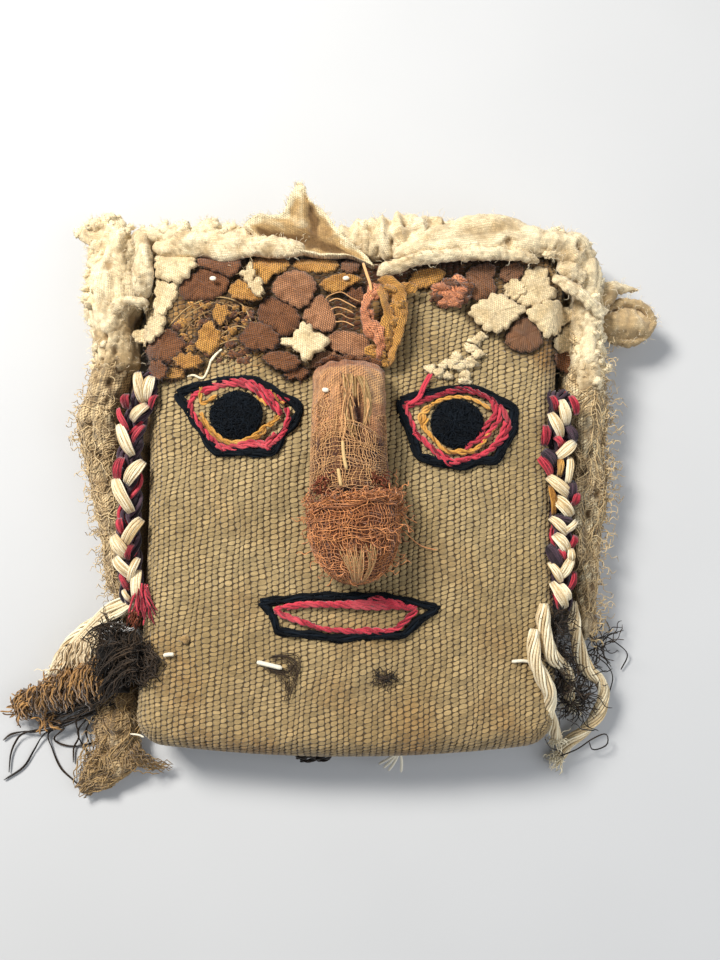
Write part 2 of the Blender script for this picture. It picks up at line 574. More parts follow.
patchLayers = {"low": 0.5, "high": 1.9, "top": 3.3}
patches = {
    "cream_corner": ("cream", "high", [(-55.5, 68.4), (-56.7, 75.2), (-52.5, 75.8), (-48.3, 74.9),
        (-43.7, 68.6), (-45.1, 65.6), (-46.2, 63.5), (-48.8, 62.1), (-51.7, 63), (-54.6, 63.9)]),
    "cream_strip": ("cream", "low", [(-54.9, 63.6), (-52, 62.9), (-49.1, 62), (-49.2, 59), (-50.9, 55.4),
        (-53.1, 52.5), (-55.6, 53.4), (-55.4, 58.6)]),
    "cream_temple": ("cream", "high", [(-55.8, 52.4), (-52.2, 52), (-52.3, 48.5), (-54.7, 46.1),
        (-57.7, 45.5), (-63.2, 48.3), (-61.8, 51), (-57.7, 50.7)]),
    "brown_wide": ("brown", "low", [(-48.2, 62), (-45.7, 64.4), (-42.6, 66.8), (-38.9, 67.8),
        (-35.7, 66.4), (-34.1, 63.3), (-35.2, 59.7), (-38.6, 57.6), (-42.6, 57.4), (-46.3, 57.4),
        (-48.1, 59.3)]),
    "brown_peak": ("brown", "high", [(-43.3, 67.9), (-42.1, 71.3), (-38.7, 72.7), (-34.5, 70.7),
        (-31.1, 69.3), (-31.1, 66.1), (-33.6, 63.7), (-36.5, 65), (-40, 66.2)]),
    "ochre_top": ("ochre", "low", [(-28.9, 68.5), (-27, 71.7), (-23.2, 73.2), (-18.7, 71.1),
        (-17.1, 68.4), (-18.7, 65.7), (-21.8, 64.5), (-23.5, 62), (-25.8, 63.6), (-27.6, 65.8)]),
    "cream_scrap_upper": ("cream", "top", [(-30.3, 64.1), (-28.9, 65.6), (-27.6, 67.2), (-26.6, 64.3),
        (-27.1, 61.9), (-29.1, 62.2)]),
    "cream_scrap_lower": ("cream", "top", [(-27.7, 61), (-26, 62.5), (-24.3, 61.6), (-24.5, 57.4),
        (-26.2, 58.3), (-27.6, 59.5)]),
    "ochre_left": ("ochre", "high", [(-33.8, 59.5), (-33, 61.6), (-30.8, 62.8), (-28.4, 61.3),
        (-26.1, 59.1), (-24.4, 57.6), (-26, 56.4), (-29.7, 56.7), (-32.6, 57.4)]),
    "brown_upper": ("rose", "high", [(-21.6, 59.7), (-20.5, 62.7), (-18, 64.9), (-14.6, 65.5),
        (-11.1, 64.2), (-9.1, 61.5), (-9.9, 58.1), (-11.6, 55.1), (-14.1, 54.2), (-17, 55.7),
        (-19.8, 57.3)]),
    "brown_middle": ("brown", "low", [(-24.5, 56.6), (-22, 58.1), (-18.2, 56.5), (-15.1, 54.4),
        (-13.6, 51.4), (-14.7, 48.1), (-17.8, 46.3), (-21.5, 47.3), (-24.4, 49.7), (-25.6, 53.3)]),
    "brown_inner": ("rose", "low", [(-12.5, 53.5), (-11.1, 55.9), (-8.3, 58.6), (-6, 56.8), (-4.3, 53.8),
        (-3.4, 50.1), (-5.1, 47.5), (-7.9, 47.8), (-10.5, 49.3), (-12.5, 51.1)]),
    "cream_star": ("cream", "top", [(-12.8, 49), (-10.6, 48.4), (-9.4, 46.3), (-6.4, 45.4), (-5.5, 44),
        (-6.6, 41.6), (-9.1, 40.5), (-11, 38.2), (-12.4, 38.5), (-13.8, 41.1), (-16.1, 42.3),
        (-18.6, 43.2), (-18.1, 44.6), (-15.6, 44.9), (-14.2, 46.9)]),
    "ochre_leaf": ("ochre", "high", [(-8, 61.1), (-5.7, 63.3), (-2, 64.5), (1.9, 63.9), (3.9, 62.7),
        (0.8, 61.1), (-2, 59.3), (-5.1, 59)]),
    "ochre_band": ("ochre", "low", [(-15.9, 68), (-13.8, 70.6), (-9.7, 70.6), (-5.1, 70.6), (-2.7, 68.4),
        (-4.1, 66), (-8.1, 65.4), (-13, 66)]),
    "red_scrap_top": ("brown", "low", [(-1.8, 68.8), (0.5, 70.6), (2.8, 69.2), (3.1, 66.3), (0.8, 65.1),
        (-1.5, 66)]),
    "red_scrap": ("brown", "low", [(-0.3, 58.9), (1.1, 60.4), (3.6, 60.4), (4.5, 58.3), (3.9, 56.2),
        (1.7, 55.9), (-0, 56.8)]),
    "brown_bridge": ("rose", "high", [(-5.3, 45), (-3.4, 47), (0.6, 47), (4.5, 45.8), (6.4, 42.9),
        (5.3, 40), (1.7, 39.1), (-1.7, 40.6), (-4.4, 42)]),
    "brown_brow": ("brown", "high", [(-23.7, 39.5), (-22, 41), (-18.1, 41.2), (-15, 40.3), (-13.3, 38),
        (-15, 36), (-18.6, 35.7), (-21.7, 37.5)]),
    "brown_lower": ("brown", "high", [(-30.6, 45.2), (-28.7, 48.7), (-25.3, 50.1), (-21.9, 48.6),
        (-19.3, 45.3), (-20.1, 43), (-23.5, 41.9), (-27.7, 42.2)]),
    "brown_scrap_brow": ("rose", "low", [(-10.6, 37.2), (-8.4, 40.7), (-5.1, 41.6), (-2, 40.7),
        (-0.3, 39.2), (-3.1, 38), (-7.3, 36.9)]),
    "brown_scrap_low": ("brown", "low", [(-17.6, 35.5), (-14.8, 36.4), (-11.7, 36.6), (-10.9, 34.9),
        (-13.4, 33.7), (-16.7, 33.8)]),
    "ochre_worn": ("ochre", "low", [(-42.8, 46.4), (-40.9, 49.6), (-38.9, 50.8), (-37.1, 48.4),
        (-36.2, 45.1), (-38.1, 41.9), (-40.6, 41.4), (-43, 43.5)]),
    "ochre_wisp": ("ochre", "low", [(-38.2, 55.2), (-35.9, 56.1), (-34.2, 54.9), (-34.7, 51.6),
        (-36.6, 49.8), (-38.1, 52.2)]),
    "brown_temple": ("brown", "low", [(-58.9, 45.7), (-55.5, 47), (-52.1, 49), (-48.6, 47.4),
        (-46.2, 44.7), (-47.2, 41.5), (-50.3, 39.3), (-54.9, 39.6), (-59.9, 43.9)]),
    "ochre_scrap_left": ("ochre", "high", [(-48.9, 40), (-46.4, 41.1), (-42.9, 40.7), (-40.9, 39),
        (-42.5, 37), (-46, 36.8), (-48.3, 38)]),
    "brown_scrap_temple": ("brown", "high", [(-56.3, 38.8), (-53.6, 39.1), (-51.1, 37.5), (-51.3, 34.9),
        (-54.1, 34), (-56.3, 36.2)]),
    "ochre_scrap_low": ("ochre", "low", [(-52, 36.4), (-49.4, 37.5), (-46.2, 36.8), (-46.5, 34.8),
        (-49.6, 34), (-51.7, 34.7)]),
    "ochre_right": ("ochre", "low", [(17.7, 63.9), (20, 66.3), (24, 67), (27.4, 66.1), (27.4, 63.9),
        (24.5, 61.7), (20.5, 60.5), (17.9, 61.4)]),
    "brown_right": ("brown", "low", [(34, 65.2), (36.4, 67.7), (40.3, 68.9), (42.4, 66.8), (41.7, 63.4),
        (42.5, 60.1), (39.6, 57.6), (36.1, 57.3), (34.5, 60.6)]),
    "brown_scrap_right": ("brown", "low", [(43.8, 66.1), (46, 68.2), (49.2, 68.5), (50.7, 66.2),
        (48.9, 63.8), (46, 62.8), (44, 63.7)]),
    "cream_wide": ("cream", "high", [(34.4, 53.2), (36.7, 55.9), (39.3, 56.8), (41.7, 58.6),
        (44.8, 57.8), (47.6, 55.8), (50.7, 54.3), (48.3, 52.2), (46, 50.1), (43.6, 47.7), (39.9, 47.6),
        (37.2, 49.4), (35.2, 51.7)]),
    "cream_scrap_right": ("cream", "low", [(44.8, 59.8), (45.7, 62.2), (47.8, 63.4), (49.8, 62.6),
        (50.5, 59.9), (48.8, 58), (46.2, 57.7)]),
    "cream_upper": ("cream", "low", [(48.7, 56.8), (50, 60.2), (50.4, 64.1), (51.9, 66.5), (56.3, 67.2),
        (57.6, 64.5), (58.2, 61.9), (60.5, 60.4), (58.1, 57.8), (54.7, 55.8), (51, 55.4)]),
    "cream_lower": ("cream", "high", [(50.9, 53.4), (53.3, 55.3), (57.1, 56.6), (61.3, 57.4),
        (64.3, 57.4), (67.2, 56.5), (66.6, 53.7), (63.6, 52.8), (60.1, 48.4), (55.9, 46.3), (54.3, 49.1),
        (51.7, 51.4)]),
    "brown_outer": ("brown", "low", [(44.7, 45.5), (46.2, 48.8), (49.2, 51.8), (52.3, 51.9),
        (54.3, 49.2), (55.3, 45.2), (52.6, 42.5), (48.9, 42.1), (45.8, 43.5)]),
    "cream_edge": ("cream", "low", [(59, 45.3), (61.8, 49.5), (65.1, 52.7), (68.4, 53.9), (69.8, 50.2),
        (69.3, 45.4), (67.2, 42.4), (64.3, 44.5), (60.8, 44.3)]),
    "brown_scrap_edge": ("brown", "low", [(59.4, 41.7), (62.8, 44.8), (65.7, 43.6), (66.2, 40.9),
        (64.4, 38.5), (61.8, 39.7)]),
}
patchSlots = {"brown": "patch_brown", "rose": "patch_brown", "ochre": "patch_ochre", "cream": "patch_cream"}
patchRimPoints = 84
patchRims = {name: smoothLine(facts[2], patchRimPoints + 1, True)[:-1] for name, facts in patches.items()}


# The stuffed pad: its plain-weave face runs over the edges, and the back is plain

faceCloth = {
    "size": (120, 144), "columns": 72, "rows": 112, "acrossSteps": 3, "alongSteps": 2,
    "relief": 0.5, "backStep": 8, "sway": 0.4, "uneven": 0.3, "drift": 0.08,
    "shadeReach": 2.2, "chinStain": 0.3,
}
# worn ochre and brown places between the patches: x, y, half width, half height, strength
wornPlaces = [(-9, 55, 22, 17, 1.5), (-45, 52, 8, 11, 0.95), (-35, 51, 8, 8, 0.7), (-34, 66, 20, 7, 1.4),
              (32, 67.4, 26, 5, 1.5), (58, 46, 6, 10, 1.0), (52, 58, 9, 8, 1.0), (-46, 38, 9, 3, 0.6)]


def evenShares(section, count):
    # shares of the way along a curved section, for equal steps on its surface
    t = np.linspace(0, 1, 2000)
    along = np.concatenate([[0], np.cumsum(np.linalg.norm(np.diff(section(t), axis=0), axis=1))])
    return np.interp(np.linspace(0, along[-1], count), along, t)


def padPlan(a, b):
    # shares across and down to a place on the plan, with the corners rounded
    y = pad["topY"] * (1 - b) + pad["bottomY"] * b
    x = sideX("left", y) * (1 - a) + sideX("right", y) * a
    y = pad["topY"] * (1 - b) + bottomAt(x) * b
    radius = pad["cornerRadius"]
    px = radius - np.minimum(x - sideX("left", y), sideX("right", y) - x)
    py = radius - np.minimum(pad["topY"] - y, y - bottomAt(x))
    inCorner = (px > 0) & (py > 0)
    pull = np.where(inCorner, np.maximum(px, py) / np.maximum(np.hypot(px, py), 1e-6), 1.0)
    x = x + np.where(a > 0.5, 1, -1) * px * (pull - 1) * inCorner
    y = y + np.where(b < 0.5, 1, -1) * py * (pull - 1) * inCorner
    return x, y


def zipper(outer, inner, points):
    # triangles between two closed rows of points with different counts
    spot = [0, 0]
    rings = [np.asarray(outer), np.asarray(inner)]
    shares = []
    for ring in rings:
        loop = points[np.append(ring, ring[0])]
        along = np.concatenate([[0], np.cumsum(np.linalg.norm(np.diff(loop, axis=0), axis=1))])
        shares.append(along / along[-1])
    faces = []
    while spot[0] < len(rings[0]) or spot[1] < len(rings[1]):
        a, b = (rings[k][spot[k] % len(rings[k])] for k in (0, 1))
        ahead = [shares[k][spot[k] + 1] if spot[k] < len(rings[k]) else 2.0 for k in (0, 1)]
        turn = 0 if ahead[0] <= ahead[1] else 1
        spot[turn] += 1
        faces.append([a, b, rings[turn][spot[turn] % len(rings[turn])]])
    return np.array(faces)


def perimeter(rows, columns, start=0):
    grid = np.arange(rows * columns).reshape(rows, columns) + start
    return np.concatenate([grid[0, :-1], grid[:-1, -1], grid[-1, :0:-1], grid[:0:-1, 0]])


def patchShade(x, y, reach):
    # dark close to a patch, where the cloth lies in its shadow
    nearest = np.full(x.shape, 99.0)
    band = y > 28
    spots = np.stack([x[band], y[band]], axis=1)
    for rim in np.array_split(np.concatenate(list(patchRims.values())), 30):
        gap = np.linalg.norm(spots[:, None] - rim[None], axis=2).min(axis=1)
        nearest[band] = np.minimum(nearest[band], gap)
    return np.clip(nearest / reach, 0.12, 1)


def makeFace(shape):
    columns = shape["columns"] * shape["acrossSteps"] + 1
    rows = shape["rows"] * shape["alongSteps"] + 1
    left, right = sideX("left", np.array(0.0)), sideX("right", np.array(0.0))
    tall = pad["bottomY"] - pad["topY"]

    def acrossSection(t):
        x = left + (right - left) * t
        return np.stack([x, faceHeight(x, 0 * t)], axis=1)

    def downSection(t):
        y = pad["topY"] + tall * t
        return np.stack([y, faceHeight(0 * t, y)], axis=1)

    a, b = np.meshgrid(evenShares(acrossSection, columns), evenShares(downSection, rows))
    fade = np.clip(np.minimum(np.minimum(a, 1 - a), np.minimum(b, 1 - b)) * 25, 0, 1)
    size = np.array(shape["size"])
    flat = np.stack([a, b], axis=-1) * size
    swayX = waves(flat * [1, 0.4], 9, 11) * shape["sway"] + waves(flat * [1, 0.3], 40, 12) * 0.5
    swayY = waves(flat * [0.4, 1], 11, 13) * shape["sway"] * 0.7
    x, y = padPlan(a + swayX / size[0] * fade, b + swayY / size[1] * fade)
    z = faceHeight(x, y)
    z = z + fade * (0.4 * waves(np.stack([x, y], axis=-1), 34, 14) + 0.15 * waves(flat, 9, 15))
    base = np.stack([x, y, z], axis=-1)
    normal = unit(np.cross(np.gradient(base, axis=1), np.gradient(base, axis=0)))
    normal *= np.sign(normal[rows // 2, columns // 2, 2])
    i, j = np.meshgrid(np.arange(columns) / shape["acrossSteps"], np.arange(rows) / shape["alongSteps"])
    i = i + shape["drift"] * waves(flat, 3.4, 17)
    j = j + shape["drift"] * waves(flat, 2.8, 18)
    random = np.random.default_rng(21)
    strength = 1 + shape["uneven"] * random.normal(size=(shape["rows"], shape["columns"]))
    height = weaveHeight(i, j, np.clip(strength, 0.4, 1.7))
    points = base + normal * ((height - 0.4) * shape["relief"] * np.clip(fade * 3, 0, 1))[..., None]
    stain = shape["chinStain"] * np.clip((-y - 10) / 55, 0, 1) + 0.25 * np.clip(waves(flat, 30, 16), 0, 1)
    for px, py, wide, high, amount in wornPlaces:
        stain = stain + amount * np.exp(-((x - px) / wide) ** 4 - ((y - py) / high) ** 4)
    weave = np.stack([i, j, stain], axis=-1)
    tone = 0.62 * patchShade(x, y, shape["shadeReach"])
    underRim = base.reshape(-1, 3)[perimeter(rows, columns)] * [1, 1, 0]
    low = pad["rim"] - pad["band"]
    underRim[:, 2] = low
    step = shape["backStep"]
    backX, backY = padPlan(a[::step, ::step][1:-1, 1:-1], b[::step, ::step][1:-1, 1:-1])
    backZ = low - low * quarterRound(insetOf(backX, backY), pad["underRoll"])
    back = np.stack([backX, backY, backZ], axis=-1)
    allPoints = np.concatenate([points.reshape(-1, 3), underRim, back.reshape(-1, 3)])
    top = perimeter(rows, columns)
    rim = np.arange(len(top)) + rows * columns
    backStart = rim[-1] + 1
    side = np.stack([top, rim, np.roll(rim, -1), np.roll(top, -1)], axis=1)
    under = zipper(rim, perimeter(*back.shape[:2], backStart), allPoints)
    backFaces = gridFaces(*back.shape[:2]) + backStart
    rest = allPoints[rim[0]:]
    plain = np.stack([rest[:, 0] / 1.83 + 0.25, rest[:, 1] / 1.49, 0.4 + 0 * rest[:, 0]], axis=1)
    weave = np.concatenate([weave.reshape(-1, 3), plain])
    tone = np.concatenate([tone.ravel(), np.full(len(rest), 0.62)])
    piece = newPiece()
    faces = [gridFaces(rows, columns)[:, ::-1], side[:, ::-1], under, backFaces]
    addFaces(piece, allPoints, faces, tone, weave)
    made = makePiece(piece, "face_cloth_pad", [materials["face"]], "face_cloth", ["face_pad"])


makeFace(faceCloth)
print("face cloth made")


# Braids and tails: the routes are the solids' own

braid = {
    "radius": 3.8, "period": 16.5, "swing": 1.9, "rise": 0.8, "yarns": 6, "yarnRadius": 0.55,
    "strandSize": (1.3, 0.9), "twist": 0.045, "points": 70, "sink": 0.9,
    "lobeYarn": 0.25, "lobePitch": 0.4, "lobeHeight": 2.3, "lobeRound": 0.9,
}
braidRoutes = {
    "left": [(-57.2, 36.2, 22), (-58.6, 28, 21.4), (-61, 21, 20.8), (-61.9, 13, 20.4), (-61.6, 5, 20.2),
        (-61.5, -3, 20), (-61.5, -11, 19.8), (-61, -18.5, 19.4), (-60.2, -28.6, 18.4)],
    "right": [(60.2, 31, 21.8), (60, 26, 21.2), (59.8, 20, 20.8), (59.5, 13, 20.4), (59.4, 5, 20.2),
        (59.8, -3, 20), (59.8, -11, 19.8), (59.4, -18.5, 19.4), (59.2, -30, 18.6)],
}
# where each strand comes over the others: its start and end (x, y), and its width
lobes = {
    "left": {
        "creamYarn": [(-59.2, 36, -57.8, 27.6, 3.4), (-55.2, 34.8, -57, 27.9, 3.4),
            (-56.4, 26.8, -61, 22.5, 3), (-64.4, 21.3, -60.7, 12.5, 3.3), (-57.3, 10.8, -62.1, 4.6, 3.9),
            (-65.2, 6, -60.5, -3.5, 3.6), (-57.4, -5.4, -62.4, -12.3, 3.6),
            (-65.2, -9.9, -61.4, -15.9, 3.9), (-64.5, -15.9, -59.6, -21.7, 3.3),
            (-58.1, -16.2, -60.7, -23, 2.2), (-58, -19.5, -58.6, -28.2, 3),
            (-62.2, -24.9, -59.7, -28.2, 1.4)],
        "red": [(-62.4, 29.9, -62.6, 25.9, 2.5), (-64.8, 25.9, -62.1, 19.6, 1.7),
            (-57.3, 21.1, -60.8, 16.2, 1.4), (-63.5, 12, -64.9, 5.5, 2.8), (-63.7, -5.1, -62.8, -9.6, 2.2),
            (-59.9, -12.3, -61.4, -16.7, 1.9), (-62.9, -20.3, -60.9, -24.9, 1.7),
            (-53.9, 29.7, -55.8, 25.9, 1.7)]},
    "right": {
        "creamYarn": [(60.1, 28.2, 61.3, 21.1, 3.3), (57.1, 24.5, 59.8, 17.6, 3.3),
            (63.9, 16.2, 58.2, 11.7, 3.3), (62.4, 12, 61.3, 4.4, 2.2), (56.1, 6.6, 61.8, 1, 3.6),
            (57.9, 0.7, 62.2, -4.6, 3.9), (56.6, -4.9, 60.9, -9.6, 2.8), (63.8, -6, 60.1, -9, 1.9),
            (57.6, -9.6, 61, -14.3, 3.6), (61.9, -13.4, 61.5, -17.3, 2.2), (62.4, -16.2, 58.3, -21.7, 3),
            (56, -17.3, 59.1, -22.8, 2.5), (56.7, -22.8, 60.3, -29.8, 3), (59.1, -23.3, 61.2, -27.7, 2.2)],
        "red": [(57.5, 29.4, 58.8, 25.1, 1.9), (62.9, 29.4, 64.4, 24.2, 2.2),
            (55.9, 21.1, 55.2, 15.4, 2.8), (58.4, 17.9, 60, 15.1, 2.2), (53.7, 12.5, 56.9, 6.9, 2.8),
            (64.3, 2.1, 63.1, -1.2, 2.2), (63.4, -9.9, 61.9, -13.2, 1.9), (58.8, -13.7, 60.4, -16.7, 1.7),
            (63.1, -20, 61.5, -24.9, 1.7)],
        "purple": [(61.8, 21.1, 63.9, 16.5, 2.8), (55.2, 14.2, 58.1, 9.4, 3.9),
            (55.8, -12.6, 59, -19.5, 3.9), (63, 5.5, 62.3, -0.1, 2.5), (57.7, -4.6, 62.7, -6.2, 2.5)],
        "gold": [(59.6, 12.2, 59.2, 6.6, 1.9), (56.9, 4.1, 57.5, -4.3, 1.9)]},
}
lobeLifts = {"creamYarn": 1.0, "red": 0.5, "purple": 0.2, "gold": 0.3}
tail = {
    "radius": 1.8, "yarns": 12, "yarnRadius": 0.36, "ring": (1.68, 1.35), "core": 1.2, "turnLength": 34.0,
    "body": ([0, 0.1, 0.3, 0.6, 0.85, 1], [0.55, 1.0, 1.15, 0.9, 1.0, 0.8]), "frays": 56,
}
tailRoutes = {
    "tail_right_inner": [(53.6, -28.6, 23.6), (53.4, -32.6, 23.6), (54, -36.6, 23.2), (55, -40.4, 22.4),
        (56.4, -43.6, 21), (59.6, -45.8, 17.6), (62, -49, 14), (62.9, -53, 10.6), (63.8, -56.2, 8)],
    "tail_right_middle": [(50.6, -35.4, 25), (50.2, -39.8, 25), (50.6, -43.8, 24.8), (52.8, -48.9, 24),
        (54.8, -52.9, 22.4), (55.4, -58, 18), (57.6, -62.6, 12.6), (59.4, -66.6, 8.6)],
    "tail_right_outer": [(63.6, -28.2, 15), (64, -32.2, 14.4), (64.4, -36.4, 13.6), (65.4, -40.8, 12.4),
        (67, -45, 11), (68.8, -48, 10), (72, -50.6, 8.8), (73.6, -54, 7.4), (73.2, -58.2, 6),
        (71.6, -62, 5), (68.4, -65.6, 4), (64.4, -69, 3.2), (61.4, -73, 2.6)],
    "tail_left": [(-63.2, -30.8, 14), (-67.5, -32.4, 12), (-73, -34.6, 9.6), (-79, -38.2, 7.2),
        (-84, -43.8, 4.8), (-86.6, -48.8, 2.8)],
}
cordPathPoints = 30


def lengthOf(route):
    return float(np.linalg.norm(np.diff(route, axis=0), axis=1).sum())


def declareCord(route, radius):
    path = smoothLine(route, cordPathPoints)
    round(lengthOf(path) * mm, 4)


def addLobe(piece, row, heightAt, random, finish, lift):
    # parallel yarns that rise from between the strands, lie over them and dive again
    s = np.linspace(0, 1, 10)
    start, end, width = np.array(row[:2]), np.array(row[2:4]), row[4]
    side = flatSide(unit(end - start))
    swell = np.sin(math.pi * np.clip(s, 0.03, 0.97)) ** 0.5
    count = max(4, round(width / braid["lobePitch"]))
    for layer, radius, number in ((0, braid["lobeYarn"], count), (1, 2 * braid["lobeYarn"], count // 2)):
        for k in range(number):
            place = (k + 0.5) / number * 2 - 1
            turn = math.asin(0.98 * place) + 0.35 * (s - 0.5)
            across = np.sin(turn) * width / 2 * (0.45 + 0.5 * swell) * (1 - 0.15 * layer)
            across = across + 0.1 * np.sin(7 * s + random.uniform(0, 6)) * (1 - layer)
            flat = start + (end - start) * s[:, None] + side * across[:, None]
            rise = lift + braid["lobeHeight"] * swell + braid["lobeRound"] * np.cos(turn) * swell
            rise = rise - 0.45 * layer + random.uniform(-0.2, 0.12)
            line = np.c_[flat, heightAt(flat[:, 1]) + rise]
            tone = random.uniform(0.0, 1.0)
            addTubes(piece, line, radius, 3 if layer else 4, tone, finish, taper=(0.7, 0.7))


def makeBraid(side):
    route = smoothLine(braidRoutes[side], braid["points"])
    along = np.linspace(0, lengthOf(route), len(route))
    _, across, up = routeFrames(route)
    random = np.random.default_rng(31 if side == "left" else 32)
    piece = newPiece()
    for strand in range(3):
        phase = fullTurn * (along / braid["period"] + strand / 3)
        centre = route + across * (braid["swing"] * np.sin(phase))[:, None]
        centre = centre - up * (braid["sink"] + braid["rise"] * np.sin(2 * phase))[:, None]
        forward = unit(np.gradient(centre, axis=0))
        ownSide = unit(np.cross(up, forward))
        ownUp = np.cross(forward, ownSide)
        for yarn in range(braid["yarns"]):
            angle = fullTurn * (yarn / (braid["yarns"] - 1)) + braid["twist"] * fullTurn * along
            reach = 0 if yarn == 0 else 1
            wide = np.cos(angle) * braid["strandSize"][0] * reach
            high = np.sin(angle) * braid["strandSize"][1] * reach
            line = centre + ownSide * wide[:, None] + ownUp * high[:, None] + 0.07 * random.normal(size=3)
            finish = 1 if strand == 1 and yarn % 3 == 0 else 2
            addTubes(piece, line, braid["yarnRadius"], 5, random.uniform(0.1, 1.0), finish)
    finishes = list(lobeLifts)
    heightAt = lambda y: np.interp(y, route[::-1, 1], route[::-1, 2])
    for kind, rows in lobes[side].items():
        for row in rows:
            addLobe(piece, row, heightAt, random, finishes.index(kind), lobeLifts[kind])
    yarns = [materials[kind] for kind in finishes]
    made = makePiece(piece, f"yarn_braid_{side}", yarns, "cream_yarn", [f"braid_{side}"])
    declareCord(braidRoutes[side], braid["radius"])


def makeTail(name):
    # a loose bundle of fine yarns that run nearly side by side, with a frayed end
    route = smoothLine(tailRoutes[name], 54)
    s = np.linspace(0, 1, len(route))
    random = np.random.default_rng(len(name) * 7 + int(abs(tailRoutes[name][0][0])))
    body = np.interp(s, *tail["body"])
    turns = lengthOf(route) / tail["turnLength"]
    lines = []
    for k in range(tail["yarns"]):
        angle = fullTurn * k / tail["yarns"]
        offset = np.array([[math.cos(angle), math.sin(angle)]]) * tail["ring"]
        pinch = body * (1 + 0.14 * np.sin(s * random.uniform(8, 22) + random.uniform(0, 6)))
        lines.append(bundleLines(route, offset, turns, pinch)[0])
    lines = aboveFloor(np.array(lines), tail["yarnRadius"] + 0.1)
    piece = newPiece()
    addTubes(piece, lines, tail["yarnRadius"], 5, random.uniform(0.2, 1.1, len(lines)))
    addTubes(piece, route, (tail["core"] * body)[None], 6, 0.1)
    starts = lines[random.integers(0, len(lines), tail["frays"]), -1]
    headings = unit(route[-1] - route[-4]) + 0.5 * random.normal(size=(tail["frays"], 3))
    addStray(tailEnds, random, starts, headings, (1.5, 5), 0.14, (0.6, 1.2), settle=aboveFloor,
             steps=8, curl=0.4, curlLength=3)
    made = makePiece(piece, f"cream_{name}", [materials["creamYarn"]], "cream_yarn", [name])
    declareCord(tailRoutes[name], tail["radius"])


for side in ("left", "right"):
    makeBraid(side)
tailEnds = newPiece()
for name in tailRoutes:
    makeTail(name)
makePiece(tailEnds, "frayed_tail_ends", [materials["creamYarn"]], "cream_yarn")
print("braids and tails made")


# Rolls: a bent round form along stations (x, y, z, half width, half height)


def rollPlace(stations, flat=1.0, sections=120):
    rows = smoothLine(stations, sections)
    centre, size = rows[:, :3], rows[:, 3:5]
    _, side, up = routeFrames(centre)
    table = np.concatenate([centre, side, up, size], axis=1)

    def place(along, angle, lift=0.0):
        # along is 0 to 1, angle is 0 at the top and grows towards the side, lift is outwards
        along, angle, lift = np.broadcast_arrays(along, angle, lift)
        at = np.clip(along, 0, 1) * (sections - 1)
        got = [np.interp(at, np.arange(sections), table[:, k]) for k in range(table.shape[1])]
        middle, sideways, upward = (np.stack(got[k:k + 3], axis=-1) for k in (0, 3, 6))
        wide = np.sin(angle) * (got[9] + lift)
        tall = np.maximum(np.cos(angle), -flat) * (got[10] + lift)
        return middle + sideways * wide[..., None] + upward * tall[..., None]

    place.length = lengthOf(centre)
    place.girth = math.pi * float(size.mean()) * 2
    return place


def rollGrid(piece, place, rows, around, lift, tone=0.62, pitch=0.6, finish=0, blunt=0.12, stain=None):
    # the roll's skin, with rounded ends; lift, tone and stain may be functions of its points
    along = np.linspace(0, 1, rows)
    ends = np.sqrt(np.clip(1 - (1 - np.minimum(along, 1 - along) / blunt).clip(0, 1) ** 2, 0.02, 1))
    s, angle = np.meshgrid(along, np.arange(around) * fullTurn / around, indexing="ij")
    bare = place(s, angle)
    centre = (place(s, angle * 0) + place(s, angle * 0 + math.pi)) / 2
    skin = place(s, angle, lift(bare) if callable(lift) else lift)
    skin = aboveFloor(centre + (skin - centre) * ends[:, None, None], 0.2)
    tones = np.broadcast_to(tone(bare) if callable(tone) else tone, s.shape)
    stains = stain(bare) if stain else 0 * s
    weave = np.stack([angle / fullTurn * place.girth / pitch, s * place.length / pitch, stains], axis=-1)
    addClosedGrid(piece, skin[:, ::-1], tones[:, ::-1], weave[:, ::-1], finish)


def addNet(piece, random, place, alongRange, angleRange, counts, steps, lift, sway, seed, keep,
           bow=0.0, over=0.12, radius=0.11):
    # yarns of an open weave on a roll: first those that run along it, then those around it
    own = np.random.default_rng(seed)
    for kind, number in enumerate(counts):
        lines = []
        for k in range(number):
            if own.random() > keep:
                continue
            start = own.uniform(0, 0.06)
            end = 1 - own.uniform(0, 0.06)
            run = start + (end - start) * np.linspace(0, 1, steps[kind])
            fixed = np.full_like(run, (k + 0.5 + own.uniform(-0.2, 0.2)) / number)
            wander = np.stack([run * 9, fixed * 7], axis=1)
            fixed = fixed + sway * waves(wander, 2.2, seed + 3) / number
            fixed = fixed + 0.35 * sway * waves(wander * 3.1, 2.2, seed + k) / number
            wave = over * 0.9 * np.cos(math.pi * (run * counts[1 - kind] + k))
            s, a = (run, fixed) if kind == 0 else (fixed, run)
            angle = angleRange[0] + (angleRange[1] - angleRange[0]) * a
            along = alongRange[0] + (alongRange[1] - alongRange[0]) * s
            along = along + bow * (1 - s) * np.sin(2.6 * angle + seed)
            rise = lift(place(along, angle)) if callable(lift) else lift
            lines.append(place(along, angle, rise + wave))
        if lines:
            addTubes(piece, lines, radius, 3, random.uniform(0.2, 1.0, len(lines)))


